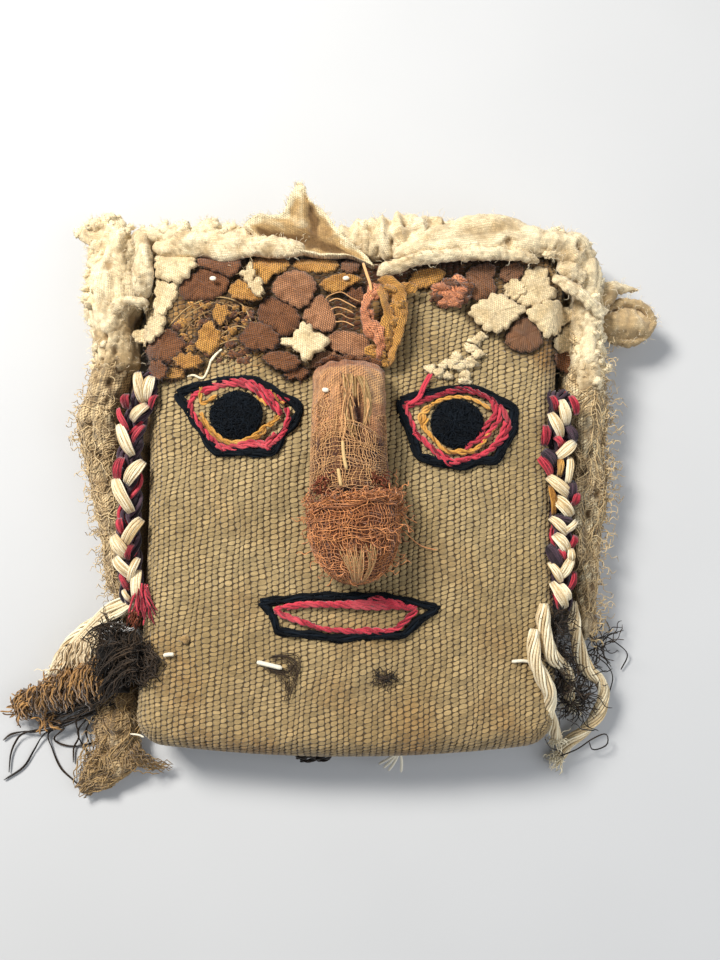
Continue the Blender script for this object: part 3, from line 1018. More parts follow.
def addBlob(piece, centre, size, seed, rough, tone=0.6, finish=0, rows=9, around=12):
    # a small crumpled lump
    polar = np.linspace(0.12, math.pi - 0.12, rows)[:, None]
    spin = np.arange(around)[None] * fullTurn / around
    ball = np.stack([np.sin(polar) * np.cos(spin), np.sin(polar) * np.sin(spin),
                     np.cos(polar) + 0 * spin], axis=-1)
    swell = 1 + rough * waves(ball, 1.2, seed) + 0.4 * rough * waves(ball, 0.5, seed + 1)
    points = aboveFloor(np.asarray(centre) + ball * np.asarray(size) * swell[..., None], 0.2)
    weave = np.stack([spin + 0 * polar, polar + 0 * spin, 0 * (polar + spin)], axis=-1)
    addClosedGrid(piece, points[:, ::-1], tone, weave[:, ::-1] * float(np.mean(size)) / weavePitch, finish)


def addStrip(piece, route, halfWidth, halfThick, seed, lean=0.0, tone=0.6, finish=0, rough=0.3, points=44):
    # a folded strip of cloth: a flat closed section that leans over and crumples along a route
    line = smoothLine(route, points)
    _, side, up = routeFrames(line)
    s = np.linspace(0, 1, points)
    tilt = lean + 0.5 * np.sin(s * 7 + seed)
    wide = np.cos(tilt)[:, None] * side + np.sin(tilt)[:, None] * up
    thin = -np.sin(tilt)[:, None] * side + np.cos(tilt)[:, None] * up
    around = 16
    angle = np.arange(around) * fullTurn / around
    shape = np.clip(np.sin(np.clip(s, 0.02, 0.98) * math.pi) * 4, 0.25, 1)
    grid = line[:, None] + wide[:, None] * (np.cos(angle) * halfWidth)[None, :, None] * shape[:, None, None]
    grid = grid + thin[:, None] * (np.sin(angle) * halfThick)[None, :, None] * shape[:, None, None]
    push = rough * waves(grid, 2.4, seed) + 0.5 * rough * waves(grid, 1.1, seed + 1)
    outward = unit(grid - line[:, None])
    grid = grid + outward * push[..., None] * 0.7
    along = s * lengthOf(line) / weavePitch
    weave = np.stack([*np.broadcast_arrays(angle * halfWidth / weavePitch, along[:, None], 0.0)], axis=-1)
    addClosedGrid(piece, grid, tone, weave, finish)


# The nose: a roll of faded gauze over straw, with a torn open middle, and the bound tip

noseFlat = 0.6
noseStations = [(0.5, 35, 10, 2.6), (0.5, 33.2, 10, 5.8), (0.5, 30, 10, 8.4), (0.5, 26, 9.9, 9.6),
                (0.4, 22, 9.9, 9.8), (0.4, 10, 10, 10), (0.8, 0.7, 10.6, 10)]
tipStations = [(0.9, -1, 11, 10.6), (1.6, -6, 12, 11.2), (2, -12, 11.8, 10.8), (2.2, -17, 9.8, 8.6),
               (2.2, -21.4, 5.4, 4.4)]
# narrow brown strips at the top of the nose: place along it, and the angles that each runs between
noseStrips = [(0.0, -1.35, 0.7), (0.01, -0.3, 1.35), (0.03, -1.3, 0.2)]
# tufts and long frays under the ridge: centre, spread, count, direction and reach
frays = [((-10, -0.8, 30), 1.3, 30, (-0.8, 0.4, 0.2), (1.0, 2.6)),
         ((11.6, -1.0, 31), 2.0, 44, (0.9, 0.2, 0.0), (2.0, 5.0)),
         ((12.6, -6.5, 29), 2.4, 34, (0.9, -0.3, 0.0), (1.5, 4.0))]
longFrays = [[(10.8, -7.6, 33), (13.9, -4.5, 31.4), (16.3, -7.6, 29), (18.1, -9.4, 27.4)],
             [(11.6, -5.4, 31), (14.4, -4.2, 30), (16.4, -5.6, 28.4), (19, -6.8, 27)],
             [(9.5, -7, 34), (7.2, -4.6, 36), (9.8, -2.6, 35.4), (12.6, -4.4, 33)],
             [(15.2, -9.2, 29), (18.9, -12.3, 27), (21.4, -13.5, 26.6), (24.4, -14.1, 26.4)]]


def seated(stations):
    return [(x, y, float(faceHeight(x, y)) + 0.3 + noseFlat * tall, wide, tall)
            for x, y, wide, tall in stations]


def onNose(place, line, count, lift):
    # a flat line laid on the nose roll
    flat = smoothLine(line, count)
    shares = np.linspace(0, 1, 80)
    share = np.interp(-flat[:, 1], -place(shares, 0)[:, 1], shares)
    return place(share, np.arcsin(np.clip((flat[:, 0] - 0.5) / 10, -1, 1)), lift)


def makeNose():
    place = rollPlace(seated(noseStations), noseFlat)
    random = np.random.default_rng(41)

    def slit(points):
        # 1 in the dark slit of the torn middle
        x, y, z = np.moveaxis(points, -1, 0)
        inside = np.clip((y - 13) / 3, 0, 1) * np.clip((27 - y) / 3, 0, 1) * (z > 34)
        return inside * np.exp(-((x - np.interp(y, (13.5, 19.4, 24.4), (3.1, 3.9, 2.9))) / 1.2) ** 4)

    def skinLift(points):
        # fine lengthwise creases, sunk in the torn middle
        x, y, z = np.moveaxis(points, -1, 0)
        middle = np.exp(-((x - 2) / 3.6) ** 4) * np.clip((y - 11) / 4, 0, 1) * np.clip((33 - y) / 3, 0, 1)
        return (0.3 * waves(points * [1, 0.3, 1], 4, 42) + 0.14 * waves(points, 1.7, 47)
                - 0.7 * middle * (z > 34) - 1.6 * slit(points))

    def skinTone(points):
        low = np.clip((17 - points[..., 1]) / 4, 0, 1)
        return (0.5 - 0.38 * low + 0.14 * waves(points * [1, 0.4, 1], 2.4, 48)) * (1 - 0.96 * slit(points))

    def skinStain(points):
        x, y = points[..., 0], points[..., 1]
        flap = np.exp(-((x - 7.6) / 2.4) ** 2 - ((y - 28) / 3.6) ** 2)
        top = 0.8 * np.clip((y - 34.2) / 0.8, 0, 1) - 0.4 * np.clip((y - 16) / 6, 0, 1)
        return top - 1.2 * flap + 0.5 * np.clip((x - 2) / 8, 0, 1) * (y < 24)

    piece = newPiece()
    rollGrid(piece, place, 100, 84, skinLift, skinTone, 0.62, blunt=0.025, stain=skinStain)
    for k, (s, start, end) in enumerate(noseStrips):
        along = s + 0.012 * np.sin(np.arange(7) * 2 + k)
        route = place(along, np.linspace(start, end, 7), 0.1) + [0, 1.2, 0]
        addStrip(piece, route, 0.75, 0.35, 48 + k, 0.5, 0.5, 1, 0.4, 34)
    cloths = [materials["nose"], materials["brown"]]
    made = makePiece(piece, "nose_roll_cloth", cloths, "nose_cloth", ["nose_roll"])

    # straw that shows through the torn middle, and pale ends of it lower down
    straw = newPiece()
    for k in range(9):
        line = [(-1.5 + 0.42 * k, 31.6 + 0.6 * math.sin(2.2 * k)), (-0.9 + 0.4 * k, 25),
                (0.2 + 0.3 * k, 19), (1.4 + 0.2 * k, 14.6 - 0.7 * math.sin(1.7 * k))]
        if k > 5:
            line = line[:2]
        line = onNose(place, [(x + random.uniform(-0.5, 0.5), y) for x, y in line], 14, -0.25)
        addTubes(straw, line, random.uniform(0.24, 0.36), 5, random.uniform(0.1, 0.7))
    for k in range(5):
        line = [(2.6 + 0.5 * k, 31.4), (4.5 + 0.4 * k, 26.6), (5 + 0.4 * k, 22),
                (4.6 + 0.3 * k, 17.4 + 0.5 * k)]
        line = onNose(place, line, 14, -0.2)
        addTubes(straw, line, random.uniform(0.24, 0.34), 5, random.uniform(0.1, 0.6))
    for k in range(34):
        x, y = random.uniform(-2.6, 6.6), random.uniform(17, 33)
        if 1.8 < x < 5 and y < 29:
            continue
        line = [(x, y), (x + random.uniform(-0.8, 0.8), y - 2.4),
                (x + random.uniform(-1.2, 1.2), y - random.uniform(4, 8))]
        line = onNose(place, line, 9, random.uniform(-0.1, 0.4))
        addTubes(straw, line, 0.16, 4, random.uniform(0.2, 1.1), 1)
    for line in ([(-0.9, 13.3), (-0.6, 9.2), (0, 5.6)], [(-2.1, 6.2), (-1.5, 1.5)]):
        addTubes(straw, onNose(place, line, 10, 0.3), 0.5, 6, 1.0, taper=(0.7, 0.2))
    makePiece(straw, "nose_straw", [materials["straw"], materials["noseYarn"]])

    # the open net over the lower half, and its finer beginnings at both sides
    net = newPiece()
    addNet(net, random, place, (0.53, 1.0), (-1.8, 1.8), (48, 27), (26, 54), 0.3, 0.75, 43, 0.94, 0.05,
           radius=0.105)
    addNet(net, random, place, (0.36, 0.6), (-1.8, -0.25), (16, 12), (18, 30), 0.15, 0.6, 44, 0.9, 0.04)
    addNet(net, random, place, (0.45, 0.6), (0.75, 1.8), (11, 7), (14, 22), 0.15, 0.6, 45, 0.9, 0.04)
    made = makePiece(net, "nose_net", [materials["noseYarn"]], "nose_cloth")
    return place


def makeTip():
    place = rollPlace(seated(tipStations), noseFlat)
    random = np.random.default_rng(51)
    piece = newPiece()
    lumps = lambda points: 0.35 * waves(points, 6, 52) + 0.15 * waves(points, 2, 55) - 0.5
    rollGrid(piece, place, 60, 64, lumps, 0.3, 0.7, blunt=0.16)
    made = makePiece(piece, "nose_tip_cloth", [materials["tip"]], "tip_gauze", ["nose_tip"])

    net = newPiece()
    addNet(net, random, place, (0.02, 0.97), (-1.9, 1.9), (48, 34), (28, 50), 0.1, 0.9, 53, 0.95)
    count = 180
    starts = place(random.uniform(0.05, 0.9, count), random.uniform(-1.5, 1.7, count), 0.3)
    headings = random.normal(size=(count, 3)) * [1, 1, 0.2]
    addStray(net, random, starts, headings, (2, 5), 0.12, (0.2, 1.1), curl=0.7, curlLength=3.0, drop=0.1)
    made = makePiece(net, "nose_tip_net", [materials["tipYarn"]], "tip_gauze")

    # a fan of straw at the worn end
    straw = newPiece()
    for k in range(30):
        turn = -0.42 + 0.028 * k
        s = np.linspace(0.55 + 0.05 * math.sin(2.3 * k), 0.9 - 0.1 * abs(turn), 9)
        angle = 0.1 + turn * (1 - 1.9 * (s - 0.55)) + 0.02 * np.sin(19 * s + k)
        angle = angle + 0.1 * (k > 19) * np.sin(9 * (s - 0.55))
        line = place(s, angle, 0.12 + 0.12 * math.sin(k))
        addTubes(straw, line, 0.15, 4, random.uniform(0.5, 1.2), k % 3 > 0, taper=(0.3, 0.3))
    makePiece(straw, "tip_straw", [materials["straw"], materials["noseYarn"]])
    return place


def makeFray(nosePlace, tipPlace):
    random = np.random.default_rng(61)
    fray = newPiece()
    count = 190
    angle = random.uniform(-1.3, 1.6, count)
    starts = tipPlace(random.uniform(0.0, 0.1, count), angle, random.uniform(-0.3, 0.5, count))
    outward = starts - tipPlace(np.zeros(count), angle, -9.0)
    headings = unit(outward) + [0, 0.35, 0] + 0.7 * random.normal(size=(count, 3))
    addStray(fray, random, starts, headings, (1.2, 3.2), 0.11, steps=7, curl=0.8, curlLength=2.6, drop=0.1)
    # yarns that lie round the ridge
    for k in range(12):
        s = 0.02 + 0.012 * k + 0.02 * np.sin(np.linspace(0, 7 + k, 36))
        a = np.linspace(-1.7 + random.uniform(0, 0.5), 1.7 - random.uniform(0, 0.5), 36)
        line = tipPlace(np.clip(s, 0, 1), a, 0.5 + 0.35 * np.sin(a * 9 + k))
        addTubes(fray, line, 0.13, 3, random.uniform(0.2, 1))
    for centre, spreadOut, number, way, reach in frays:
        starts = np.array(centre) + random.normal(size=(number, 3)) * spreadOut * [0.5, 1, 0.8]
        headings = np.array(way) + 0.6 * random.normal(size=(number, 3))
        addStray(fray, random, starts, headings, reach, 0.15, (0.1, 1), 4,
                 curl=0.7, curlLength=2.4, drop=0.2)
    for line in longFrays:
        addTubes(fray, smoothLine(line, 24), 0.16, 4, 0.9)
    makePiece(fray, "nose_fray", [materials["tipYarn"]], "tip_gauze")
    # dark red shreds caught under the ridge
    shade = newPiece()
    for angles in ((-1.0, -0.5), (0.62, 1.15)):
        angle = random.uniform(*angles, 50)
        starts = nosePlace(random.uniform(0.86, 1.0, 50), angle, 0.25)
        headings = np.array([0, -1, 0.15]) + 0.6 * random.normal(size=(50, 3))
        addStray(shade, random, starts, headings, (1.5, 3.5), 0.17, (0, 0.8), steps=7, curlLength=2.5)
    makePiece(shade, "nose_red_shreds", [materials["tipShade"]], "tip_gauze")


nosePlace = makeNose()
makeFray(nosePlace, makeTip())
print("nose made")


# Eyes and mouth: couched yarn. Each line of points runs from the eye's or mouth's own place.

outlineLooks = {
    "eye": {"width": 2.3, "strands": 6, "radius": 0.42, "edgePoints": 80,
            "fibres": 170, "reach": (0.8, 2.2)},
    "mouth": {"width": 1.9, "strands": 5, "radius": 0.4, "edgePoints": 90, "fibres": 140, "reach": (0.8, 2)},
}
yarnRadii = {"red": 0.44, "gold": 0.34, "mouth": 0.38}
eyes = {
    "left": {
        "place": (-31.5, 23.8),
        "outline": [(-16.4, 6.3), (-8.2, 8.8), (0.1, 9.9), (5.5, 9.5), (9, 7.6), (13.3, 4.7), (17.4, 2.6),
            (18.2, 0.6), (16.2, -3), (13.4, -6), (10.5, -11), (-0.7, -10.5), (-5.2, -10.7), (-9.9, -3.7),
            (-13.4, 1.5)],
        "red": [[(-11.8, 5), (-7.3, 7), (-1, 8.4), (4.1, 7.9), (7.6, 5.8), (10.7, 2.7), (12.2, 0.3)],
            [(-11, 5.4), (-6.3, 7.7), (-1, 9), (4.3, 8.5), (8.4, 6.2), (11.6, 4.2), (14.6, 3.4)],
            [(-8.4, 5.6), (-4.8, 7.4), (0, 8), (4, 7), (7.2, 4.6), (10.2, 1.6), (12.4, -0.4)],
            [(14.2, -1.2), (13.1, -5.1), (10, -8.6), (9.2, -9.4), (8.6, -8.2), (11, -5.4)], [(13.8, 1.4),
            (14.3, -2.4), (12.2, -6.4), (9.4, -9)], [(9.2, -9), (4.9, -8.5), (0.7, -9.3), (-3, -9.5),
            (-4.7, -8.3)], [(8.4, -8), (4, -7.7), (0.4, -8.7), (-3.4, -8.7), (-6.2, -6.4)], [(-5.6, -7.4),
            (-7.9, -4.8), (-11.1, -0.2), (-12, 2.7), (-11.4, 5)], [(-7, -5.8), (-10, -2), (-11.8, 1),
            (-12.4, 4)]],
        "gold": [[(-9.8, 7.8), (-9.9, 5.4), (-9.7, 3.5), (-8.6, 3.2), (-7, 4.2), (-5.2, 5.3)],
            [(-9.7, 0.6), (-7.9, -2.5), (-5.3, -5.4), (-2.4, -7.7), (1, -7.9), (4.3, -6.8), (6.6, -5.4),
            (8.8, -3.4), (10.2, -3.4), (12.5, -0.8)], [(-10.1, -0.8), (-7.4, -4.2), (-4.6, -7),
            (-1.6, -8.3), (1.6, -8.3), (5, -7.4), (8.2, -5.6), (8.6, -3.8), (10.8, -2.4), (11.8, -0.6)],
            [(9.8, 7.3), (10.6, 5.6), (11.6, 4.4), (13.8, 2.7)], [(6.1, 5), (7.6, 3.6), (9, 2.4)]],
        "pupil": (0.3, -0.2, 7.5, 6.8)},
    "right": {
        "place": (30.7, 21),
        "outline": [(-15.9, 6.4), (-7.4, 8.7), (-1.4, 9.6), (3.2, 10), (6.9, 9.2), (11.3, 7.1),
            (15.6, 4.8), (16, 3), (15.7, -0.9), (13.8, -4.6), (10.2, -10.2), (5.2, -10.4), (0.6, -12),
            (-8.5, -10.2), (-11, -9.3), (-12.8, -4.2), (-15.5, 2.8)],
        "red": [[(-14.1, 5.2), (-10.7, 6.1), (-7.2, 7.1), (-0.9, 8.7), (3.2, 8.7), (7.8, 7.3), (11.2, 5.2),
            (13, 2.4), (13.9, -0.9)], [(-13.6, 4.4), (-9.6, 5.8), (-5.6, 7.4), (0, 9.4), (4, 9.2),
            (8.6, 6.8), (12, 3.8), (13.4, 0.4)], [(13.9, -0.4), (12.6, -3.4), (11, -5.1), (7.3, -7.7),
            (2.9, -9.3), (-0.5, -10.5)], [(12.8, 0.8), (11.6, -2.6), (9.6, -5.6), (6.2, -8.4), (2, -9.6),
            (-1.6, -10), (-4.4, -9.2)], [(1.4, -9.4), (-2.2, -11), (-4.8, -9.4), (-6.2, -7.9),
            (-8.5, -5.6), (-11.7, -2.8)], [(-2.6, -9.6), (-6.8, -6.8), (-10.2, -3.6), (-12, -2.6)],
            [(-11.4, -2.4), (-12.6, 0.8), (-13.6, 3.2), (-14.1, 5)], [(9, 6.3), (10, 2.8), (8.2, 0.5),
            (6.5, -1.9), (5.3, -4.2), (3, -5.6), (1.8, -7)], [(10.4, 5.4), (11.2, 1.6), (9.4, -0.8),
            (7.6, -3.2), (5.8, -5)]],
        "gold": [[(-10, -0.5), (-9.6, -1.9), (-8, -3), (-5.7, -6), (-3, -8.1), (0.2, -7.6), (4.1, -7.4),
            (7.1, -5.1), (7.9, -3), (10.2, -1.4)], [(-10.4, 0.8), (-8.8, -2.2), (-6.6, -4.8), (-3.6, -7.6),
            (0.6, -8.3), (4.6, -7.9)], [(-7.4, 5.2), (-8.8, 3.3), (-10.5, 2.4), (-10.7, 0.5), (-9.4, -0.7),
            (-8.6, 1.4)], [(-8.2, 4.8), (-9.8, 3.4), (-9.4, 1.4), (-10.2, -0.2)], [(-7.4, 5.2),
            (-4.7, 6.6), (-1, 7.5), (3.2, 7.3), (6.9, 5.6), (9.1, 4.2)]],
        "pupil": (-0.2, 0, 7.5, 6.9)},
}
mouth = {
    "place": (0.6, -31.4),
    "outline": [(-24.2, 3.2), (-16.7, 4), (-7.7, 4.9), (2.3, 4.7), (9.2, 4.7), (16.1, 3.3), (23.7, 1.6),
        (18.9, -1.6), (14.6, -5.5), (6.1, -5.8), (-2.8, -6.6), (-10.4, -5.5), (-19.4, -4.6), (-20.2, -1.8),
        (-22, 1.2)],
    "red": [[(-20.4, 1.3), (-16.6, 2.3), (-12.5, 2.9), (-4.6, 2.9), (4.1, 3.5), (6.8, 4.5), (9.6, 4),
        (14.4, 2.9), (18.2, 1.7)], [(-17, 1.5), (-11.5, 2.3), (-2.8, 2.2), (2.3, 1.8), (7.5, 1.6),
        (12.7, 1.8), (17.8, 1.3)], [(-15, 2.8), (-8, 2.9), (-1, 2.7), (4, 2.7), (8.6, 3.3), (13, 2.4),
        (17.4, 1.9)], [(2.6, 3), (6, 2.6), (10, 2.5), (15, 2.3)], [(18.2, 1.2), (16.1, -1.1), (13, -3.8),
        (9.9, -4.5)], [(17.2, 0.8), (14.8, -1.8), (12, -4)], [(10.2, -4.5), (4.1, -4), (0.6, -4.8),
        (-3.2, -4.3), (-9, -3.6)], [(9, -4.9), (3, -4.7), (-1, -4.2), (-6, -4.2), (-10, -3.1)],
        [(-8, -3.7), (-13.5, -2.1), (-18, -0.6), (-20.1, 0.7)], [(-9.4, -3), (-14, -1.4), (-18.2, 0.2),
        (-20.4, 1.4)], [(-20.2, 1.5), (-18.6, -0.2), (-15.6, -1.2), (-11.6, -2.3)]],
}
stitchHeights = {"navy": 0.75, "red": 1.05, "gold": 1.0}


def makeOutline(name, node, corners, look, random):
    # navy strands side by side round a closed outline, heaped up in its middle, with short fibres
    piece = newPiece()
    sharp = evenly(np.vstack([corners, corners[:1]]), 100)
    path = 0.35 * smoothLine(corners, 100, closed=True) + 0.65 * sharp
    side = flatSide(unit(np.roll(path, -1, axis=0) - np.roll(path, 1, axis=0)))
    s = np.linspace(0, 1, len(path))
    for layer, number in ((0, look["strands"]), (1, look["strands"] - 2)):
        for k in range(number):
            offset = ((k + 0.5) / number - 0.5) * look["width"] * (0.82 if layer else 1)
            wander = 0.22 * np.sin(fullTurn * (s * random.integers(9, 16) + random.random()))
            rise = stitchHeights["navy"] * (0.55 + 0.75 * layer)
            rise = rise + 0.15 * np.sin(fullTurn * (s * random.integers(7, 15)))
            line = onFace(path + side * (offset + wander)[:, None], rise)
            addTubes(piece, line, look["radius"], 5, random.uniform(0, 1), taper=(1, 1))
    count = look["fibres"]
    edge = onFace(evenly(corners, look["edgePoints"]), 0.9 + 0.35)
    starts = edge[random.integers(0, len(edge), count)]
    headings = random.normal(size=(count, 3)) * [1, 1, 0.4] + [0, 0, 0.7]
    addStray(piece, random, starts, headings, look["reach"], 0.07, (0.3, 1), taper=(1, 0.5),
             steps=6, curl=0.35, curlLength=2.0)
    makePiece(piece, name, [materials["navy"]], "navy_yarn", [node])


def looseStrands(lines, place, radius, height, random):
    # two-ply yarns that lie loose along each line
    piece = newPiece()
    for line in lines:
        route = smoothLine(np.array(line) + place, 40)
        side = flatSide(unit(np.gradient(route, axis=0)))
        s = np.linspace(0, 1, len(route))
        phase = random.uniform(0, fullTurn)
        turns = lengthOf(route) / 5.5
        for ply in (0, 0.5):
            angle = fullTurn * (turns * s + ply) + phase
            flat = route + side * (np.cos(angle) * radius * 0.95)[:, None]
            rise = height + 0.6 * radius * np.sin(angle) + 0.15 * np.sin(s * 9 + phase)
            addTubes(piece, onFace(flat, rise), radius, 5, random.uniform(0.1, 1.0), taper=(0.8, 0.8))
    return piece


def makeEye(side):
    eye = eyes[side]
    place = np.array(eye["place"])
    random = np.random.default_rng(71 if side == "left" else 72)
    name = f"{side}_eye"
    makeOutline(f"{name}_navy_outline", f"{name}_outline", eye["outline"] + place, outlineLooks["eye"],
                random)
    redLines = [np.array(line) * 1.05 for line in eye["red"]]
    red = looseStrands(redLines, place, yarnRadii["red"], stitchHeights["red"], random)
    makePiece(red, f"{name}_red_rings", [materials["red"]], "red_yarn", [f"{name}_rings"])
    gold = looseStrands(eye["gold"], place, yarnRadii["gold"], stitchHeights["gold"], random)
    makePiece(gold, f"{name}_gold_yarn", [materials["gold"]])
    makePupil(name, place + eye["pupil"][:2], np.array(eye["pupil"][2:]), random)


def makePupil(name, centre, size, random):
    # a low dome, rough with felted strands that lie round it
    pupil = newPiece()
    r = np.linspace(0.0, 1, 15)[:, None]
    a = np.linspace(0, fullTurn, 52, endpoint=False)[None]
    disc = centre + np.stack([np.cos(a) * r, np.sin(a) * r], axis=-1) * size
    rise = 0.8 + 0.8 * np.sqrt(1 - r ** 2) + 0.14 * waves(disc, 1.8, 74) + 0.1 * waves(disc, 0.9, 75)
    addClosedGrid(pupil, np.concatenate([onFace(disc, rise), onFace(disc[-1:], 0.05)])[:, ::-1], 0.3)
    count = 330
    reach, spin = np.sqrt(random.uniform(0, 0.94, count)), random.uniform(0, fullTurn, count)
    starts = centre + np.stack([np.cos(spin), np.sin(spin)], axis=-1) * size * reach[:, None]

    def settle(lines):
        away = (lines[..., :2] - centre) / size
        far = np.linalg.norm(away, axis=-1)
        flat = centre + away * np.minimum(1, 1.02 / np.maximum(far, 0.01))[..., None] * size
        dome = 0.95 + 0.8 * np.sqrt(1 - np.minimum(far, 1) ** 2)
        return onFace(flat, dome + random.uniform(0, 0.35, (count, 1)))

    headings = random.normal(size=(count, 3)) * [1, 1, 0]
    addStray(pupil, random, np.c_[starts, 0 * spin], headings, (1.4, 3.8), 0.12, (0, 1.5), settle=settle,
             steps=6, curl=0.3, curlLength=3)
    makePiece(pupil, f"{name}_pupil_yarn", [materials["navy"]], "navy_yarn", [f"{name}_pupil"])


def makeMouth():
    random = np.random.default_rng(73)
    place = np.array(mouth["place"])
    makeOutline("mouth_navy_outline", "mouth_outline", mouth["outline"] + place, outlineLooks["mouth"],
                random)
    red = looseStrands(mouth["red"], place, yarnRadii["mouth"], stitchHeights["red"], random)
    makePiece(red, "mouth_red_yarn", [materials["red"]], "red_yarn", ["mouth_ring"])


for side in ("left", "right"):
    makeEye(side)
makeMouth()
print("eyes and mouth made")


# The headband's woven patches, each a puffed piece with a rolled, scalloped edge

patchProfile = [(0.12, 1.0), (0.35, 1.0), (0.55, 0.99), (0.7, 0.98), (0.82, 0.95), (0.91, 0.82),
    (0.97, 0.6), (1.0, 0.34), (0.98, 0.1), (0.85, 0.0), (0.45, 0.0)]
patchLook = {"woven": {"thick": 0.85, "scallop": 2.4, "swell": 0.1, "bite": 0.5},
             "cream": {"thick": 1.15, "scallop": 3.2, "swell": 0.22, "bite": 1.0}}
wornPatches = ("ochre_worn", "ochre_wisp", "brown_scrap_temple", "ochre_scrap_left", "ochre_scrap_low",
               "brown_temple", "brown_lower", "brown_scrap_low", "red_scrap")


def makePatch(name, seed):
    kind, layer, _ = patches[name]
    rim = patchRims[name]
    random = np.random.default_rng(seed)
    look = patchLook.get(kind, patchLook["woven"])
    worn = name in wornPatches
    around = len(rim)
    s = np.arange(around) / around
    centre = rim.mean(0)
    outward = unit(rim - centre)
    count = max(3, round(lengthOf(rim) / look["scallop"]))
    bite = np.abs(np.sin(math.pi * (count * s + random.random() + 0.1 * np.sin(fullTurn * 2 * s)))) ** 0.6
    ragged = 0.4 * waves(rim, 2.6, seed + 9) if worn else 0.12 * waves(rim, 1.6, seed + 9)
    rim = rim + outward * ((bite - 0.45) * look["bite"] + ragged)[:, None]
    rings, tones = [], []
    for share, high in patchProfile:
        flat = centre + (rim - centre) * share
        ground = faceHeight(flat[:, 0], flat[:, 1])
        bend = 0.3 * waves(flat, 7.5, seed + 1) * share
        rise = (0.14 * waves(flat, 2.4, seed + 2) + 0.12 * waves(flat, 1.1, seed + 3)) * (high > 0.5)
        if 0.7 < share < 0.97 and high > 0.5:
            rise = rise + look["swell"] * bite
        z = ground + patchLayers[layer] + high * look["thick"] + rise + np.maximum(bend, -0.15)
        rings.append(np.c_[flat, z])
        shade = 0.62 * (0.72 if high < 0.9 else 1)
        tones.append(shade * (0.8 + 0.2 * bite if share > 0.8 else np.ones(around)))
    points = np.array(rings)
    lean = random.uniform(-0.25, 0.25)
    cos, sin = math.cos(lean), math.sin(lean)
    u = (points[..., 0] * cos - points[..., 1] * sin) / weavePitch
    v = (points[..., 0] * sin + points[..., 1] * cos) / weavePitch
    stain = np.broadcast_to(random.uniform(-0.15, 0.25), u.shape)
    piece = newPiece()
    addClosedGrid(piece, points, np.array(tones), np.stack([u, v, stain], axis=-1))
    number = 90 if worn else 26
    starts = points[6][random.integers(0, around, number)]
    headings = unit(starts - points[0].mean(0)) + 0.5 * random.normal(size=(number, 3))
    addStray(piece, random, starts, headings, (0.4, 1.6 if worn else 1.1), 0.09 if worn else 0.05, 0.6,
             taper=(1, 0.5), steps=5, curl=0.2, curlLength=2)
    nodes = [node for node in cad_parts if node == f"patch_{name}"]
    makePiece(piece, f"{name}_weave", [materials[kind]], patchSlots[kind], nodes)


for seed, name in enumerate(patches):
    makePatch(name, 100 + 5 * seed)
print("patches made:", len(patches))


# Crumpled pieces, the chain of small lobes and the frayed remains between the patches

crumpledBand = {
    "salmon": [([(9, 60.5, 27.6), (6.4, 56.8, 29.2), (4.6, 52.4, 29.6), (5.6, 48, 29.2), (7.4, 44, 28.4)],
        1.8, 0.8, 0.6), ([(6.8, 49.4, 29.4), (8.6, 45.4, 30), (9.2, 41, 29), (8.8, 38, 27.6)], 1.5, 0.8,
        -0.4)],
    "ochre": [([(8.4, 62, 27), (11.6, 60.4, 28.4), (14, 57, 29), (14.4, 52, 29.2), (13.4, 46, 28.8),
        (12, 40.4, 28), (11.4, 37, 26.8)], 2.3, 0.8, 0.5), ([(9.6, 60, 28), (10, 55.6, 29.4),
        (11.6, 51, 29.8), (10.6, 46, 29.4), (11.4, 41, 28.6)], 1.9, 0.8, -0.5), ([(6.4, 43, 27.4),
        (7.2, 40, 27.8), (9.4, 37.4, 27.2)], 1.9, 0.7, 0.2), ([(14.4, 60.4, 26.8), (17, 59.6, 26.9),
        (19.6, 59, 26.6)], 1.4, 0.5, 0.1)],
}
# lumps of the band: x, y, height, radius, and 1 for ochre
bandLumps = [(12.4, 58.4, 29, 2, 1), (13.8, 53.8, 29.4, 1.8, 1), (8, 56.4, 29.6, 1.6, 0),
    (12.6, 49, 29.6, 1.7, 1), (6, 51, 29.8, 1.5, 0), (10.6, 43.8, 29.4, 1.6, 1),
    (13.2, 43.4, 28.6, 1.5, 1), (9, 40, 28.6, 1.5, 1), (7.8, 46.4, 29.4, 1.3, 0), (10.4, 38, 27.6, 1.5, 1)]
lobeChain = [(23.2, 36.6, 1.5), (25.7, 35.8, 1.5), (27.8, 34.8, 1.4), (28.8, 38.2, 1.6), (30.8, 40.2, 1.6),
    (31, 37.2, 1.7), (32.8, 35, 1.7), (34.8, 38.7, 1.6), (32.6, 33.2, 1.3), (34.8, 43, 1.6),
    (36.1, 45, 1.5), (37.7, 46.2, 1.3), (36.6, 41.2, 1.5), (33, 38.4, 1.5), (26.6, 37.4, 1.2)]
floretCluster = [(25.2, 57.6, 1.5), (26.6, 60.2, 1.8), (28.6, 57.2, 1.9), (28.8, 60.8, 1.8),
    (31, 58.6, 2.1), (31.6, 61.6, 1.7), (33.6, 60, 1.7), (30.6, 55.8, 1.6), (27, 56, 1.4), (33, 57, 1.4)]
# worn place at the left: how far it reaches, and the yarns that are pulled out of it
wornX, wornY = (-52, -26), (38.4, 57.5)
pulledYarns = [[(-51.4, 49.6), (-45.6, 55.3), (-37.8, 58.2), (-30.6, 56.1), (-27.3, 50.4)],
               [(-48.6, 46.3), (-43.2, 52.0), (-37.7, 54.5), (-32.9, 52.8)],
               [(-50.8, 48), (-44.6, 53.8), (-37.8, 56.6), (-31, 54.4)],
               [(-36, 47), (-31.4, 49.4), (-26, 47.2)], [(-38, 43.4), (-32, 45.4), (-27, 43.6)]]
slub = (-44.4, -38.2)


